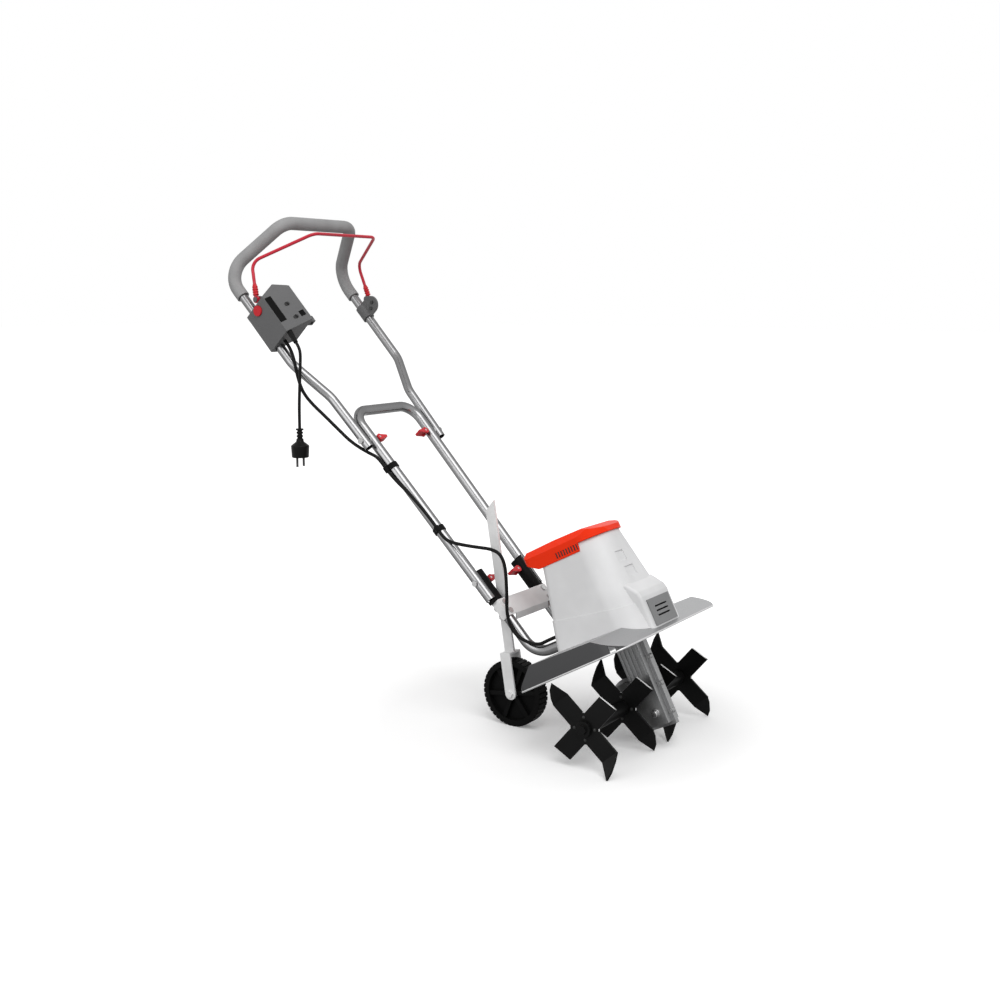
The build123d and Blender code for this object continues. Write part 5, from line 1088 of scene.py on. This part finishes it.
class TILLER_OT_stage(bpy.types.Operator):
    """Sets the camera, the pale floor and the soft light"""

    bl_idname = "tiller.stage"
    bl_label = "Stage"

    def execute(self, context):
        settings = context.scene.tiller_stage
        self.camera(context, settings)
        self.floor(settings)
        self.sky(context, settings)
        self.lamp("key_lamp", KEY_SPOT, KEY_TARGET, KEY_SIZE, settings.key)
        self.lamp("side_lamp", SIDE_SPOT, SIDE_TARGET, SIDE_SIZE, settings.fill)
        context.scene.view_settings.view_transform = "Standard"
        return {"FINISHED"}

    def camera(self, context, settings):
        """Stands the camera where the photo was taken."""
        deselect()
        bpy.ops.object.camera_add(location=CAMERA_SPOT)
        camera = context.object
        camera.name = "photo_camera"
        camera.rotation_euler = Vector(CAMERA_VIEW).to_track_quat("-Z", "Y").to_euler()
        camera.data.lens = settings.lens
        camera.data.sensor_width = SENSOR_WIDTH
        camera.data.sensor_fit = "HORIZONTAL"
        camera.data.clip_end = VIEW_REACH
        context.scene.camera = camera

    def floor(self, settings):
        """Lays a paper floor that is white to the camera and keeps a soft shadow."""
        deselect()
        bpy.ops.mesh.primitive_plane_add(size=FLOOR_SIZE)
        ground = bpy.context.object
        ground.name = "studio_floor"
        material, tree, shader = new_finish("floor_paper")
        shader.inputs["Roughness"].default_value = 0.9
        shader.inputs["Specular IOR Level"].default_value = 0.0
        glow = add_node(tree, "ShaderNodeEmission", (0, -3))
        where = add_node(tree, "ShaderNodeTexCoord", (-5, 2))
        away = add_node(tree, "ShaderNodeVectorMath", (-3, 2), operation="DISTANCE")
        away.inputs[1].default_value = SHADE_CENTRE
        tree.links.new(where.outputs["Object"], away.inputs[0])
        fade = spread(tree, (-1, 2), away.outputs["Value"], settings.glow, FAR_GLOW, SHADE_NEAR, SHADE_FAR)
        path = add_node(tree, "ShaderNodeLightPath", (-3, 4))
        paper = add_node(tree, "ShaderNodeMix", (-2, 0), data_type="RGBA")
        paper.inputs["A"].default_value = FLOOR_BOUNCE
        paper.inputs["B"].default_value = (*settings.floor, 1.0)
        link(
            tree,
            (path.outputs["Is Camera Ray"], paper.inputs["Factor"]),
            (paper.outputs["Result"], shader.inputs["Base Color"]),
        )
        seen = add_node(tree, "ShaderNodeMath", (-1, 4), operation="MAXIMUM")
        share = add_node(tree, "ShaderNodeMath", (0, 4), operation="MULTIPLY")
        tree.links.new(fade, share.inputs[1])
        mixed = add_node(tree, "ShaderNodeAddShader", (2, 0))
        link(
            tree,
            (path.outputs["Is Camera Ray"], seen.inputs[0]),
            (path.outputs["Is Glossy Ray"], seen.inputs[1]),
            (seen.outputs["Value"], share.inputs[0]),
            (share.outputs["Value"], glow.inputs["Strength"]),
            (shader.outputs["BSDF"], mixed.inputs[0]),
            (glow.outputs["Emission"], mixed.inputs[1]),
            (mixed.outputs["Shader"], tree.nodes["Material Output"].inputs["Surface"]),
        )
        dress(ground, material)

    def sky(self, context, settings):
        """Lights evenly from all round, with white behind the tiller."""
        world = bpy.data.worlds.new("studio_sky")
        context.scene.world = world
        world.use_nodes = True
        tree = world.node_tree
        even = tree.nodes["Background"]
        even.inputs["Color"].default_value = WHITE
        even.inputs["Strength"].default_value = settings.sky
        white = add_node(tree, "ShaderNodeBackground", (0, -3))
        white.inputs["Strength"].default_value = 1.0
        white.inputs["Color"].default_value = WHITE
        path = add_node(tree, "ShaderNodeLightPath", (-4, 3))
        first = add_node(tree, "ShaderNodeMath", (-2, 3), operation="MAXIMUM")
        seen = add_node(tree, "ShaderNodeMath", (-1, 3), operation="MAXIMUM")
        mixed = add_node(tree, "ShaderNodeMixShader", (2, 0))
        link(
            tree,
            (path.outputs["Is Camera Ray"], first.inputs[0]),
            (path.outputs["Is Glossy Ray"], first.inputs[1]),
            (first.outputs["Value"], seen.inputs[0]),
            (path.outputs["Is Transmission Ray"], seen.inputs[1]),
            (seen.outputs["Value"], mixed.inputs["Fac"]),
            (even.outputs["Background"], mixed.inputs[1]),
            (white.outputs["Background"], mixed.inputs[2]),
            (mixed.outputs["Shader"], tree.nodes["World Output"].inputs["Surface"]),
        )

    def lamp(self, name, spot, target, size, power):
        """Hangs a square lamp that looks at its target."""
        deselect()
        bpy.ops.object.light_add(type="AREA", location=spot)
        made = bpy.context.object
        made.name = name
        made.data.shape = "SQUARE"
        made.data.size = size
        made.data.energy = power
        made.rotation_euler = (Vector(target) - Vector(spot)).to_track_quat("-Z", "Y").to_euler()


class TILLER_PT_panel(bpy.types.Panel):
    """Lists the tiller's pieces and finishes"""

    bl_idname = "TILLER_PT_panel"
    bl_label = "Electric Tiller"
    bl_space_type = "VIEW_3D"
    bl_region_type = "UI"
    bl_category = "Tiller"

    def draw(self, context):
        for operator in OPERATORS:
            self.layout.operator(operator.bl_idname)
        for group in (context.scene.tiller_colours, context.scene.tiller_sizes, context.scene.tiller_stage):
            column = self.layout.column()
            for name in group.bl_rna.properties.keys():
                if name not in ("rna_type", "name"):
                    column.prop(group, name)


OPERATORS = (
    TILLER_OT_stage,
    TILLER_OT_finishes,
    TILLER_OT_plug,
    TILLER_OT_mains_lead,
    TILLER_OT_bail_boots,
    TILLER_OT_star_bolts,
    TILLER_OT_gearbox_cap,
    TILLER_OT_guard_hem,
    TILLER_OT_vent_shade_plates,
    TILLER_OT_lid_window,
    TILLER_OT_motor_lead,
    TILLER_OT_foam_grip,
)
CLASSES = (TillerColours, TillerSizes, TillerStage, *OPERATORS, TILLER_PT_panel)


def register():
    """Adds the classes and the scene's settings."""
    for item in CLASSES:
        bpy.utils.register_class(item)
    bpy.types.Scene.tiller_colours = PointerProperty(type=TillerColours)
    bpy.types.Scene.tiller_sizes = PointerProperty(type=TillerSizes)
    bpy.types.Scene.tiller_stage = PointerProperty(type=TillerStage)


def unregister():
    """Takes the settings and the classes out again."""
    del bpy.types.Scene.tiller_stage
    del bpy.types.Scene.tiller_sizes
    del bpy.types.Scene.tiller_colours
    for item in reversed(CLASSES):
        bpy.utils.unregister_class(item)


def main():
    """Builds the whole tiller."""
    register()
    bpy.ops.tiller.stage()
    bpy.ops.tiller.finishes()
    bpy.ops.tiller.plug()
    bpy.ops.tiller.mains_lead()
    bpy.ops.tiller.bail_boots()
    bpy.ops.tiller.star_bolts()
    bpy.ops.tiller.gearbox_cap()
    bpy.ops.tiller.guard_hem()
    bpy.ops.tiller.vent_screens()
    bpy.ops.tiller.lid_window()
    bpy.ops.tiller.motor_lead()
    bpy.ops.tiller.foam_grip()
    deselect()


if __name__ == "__main__":
    main()
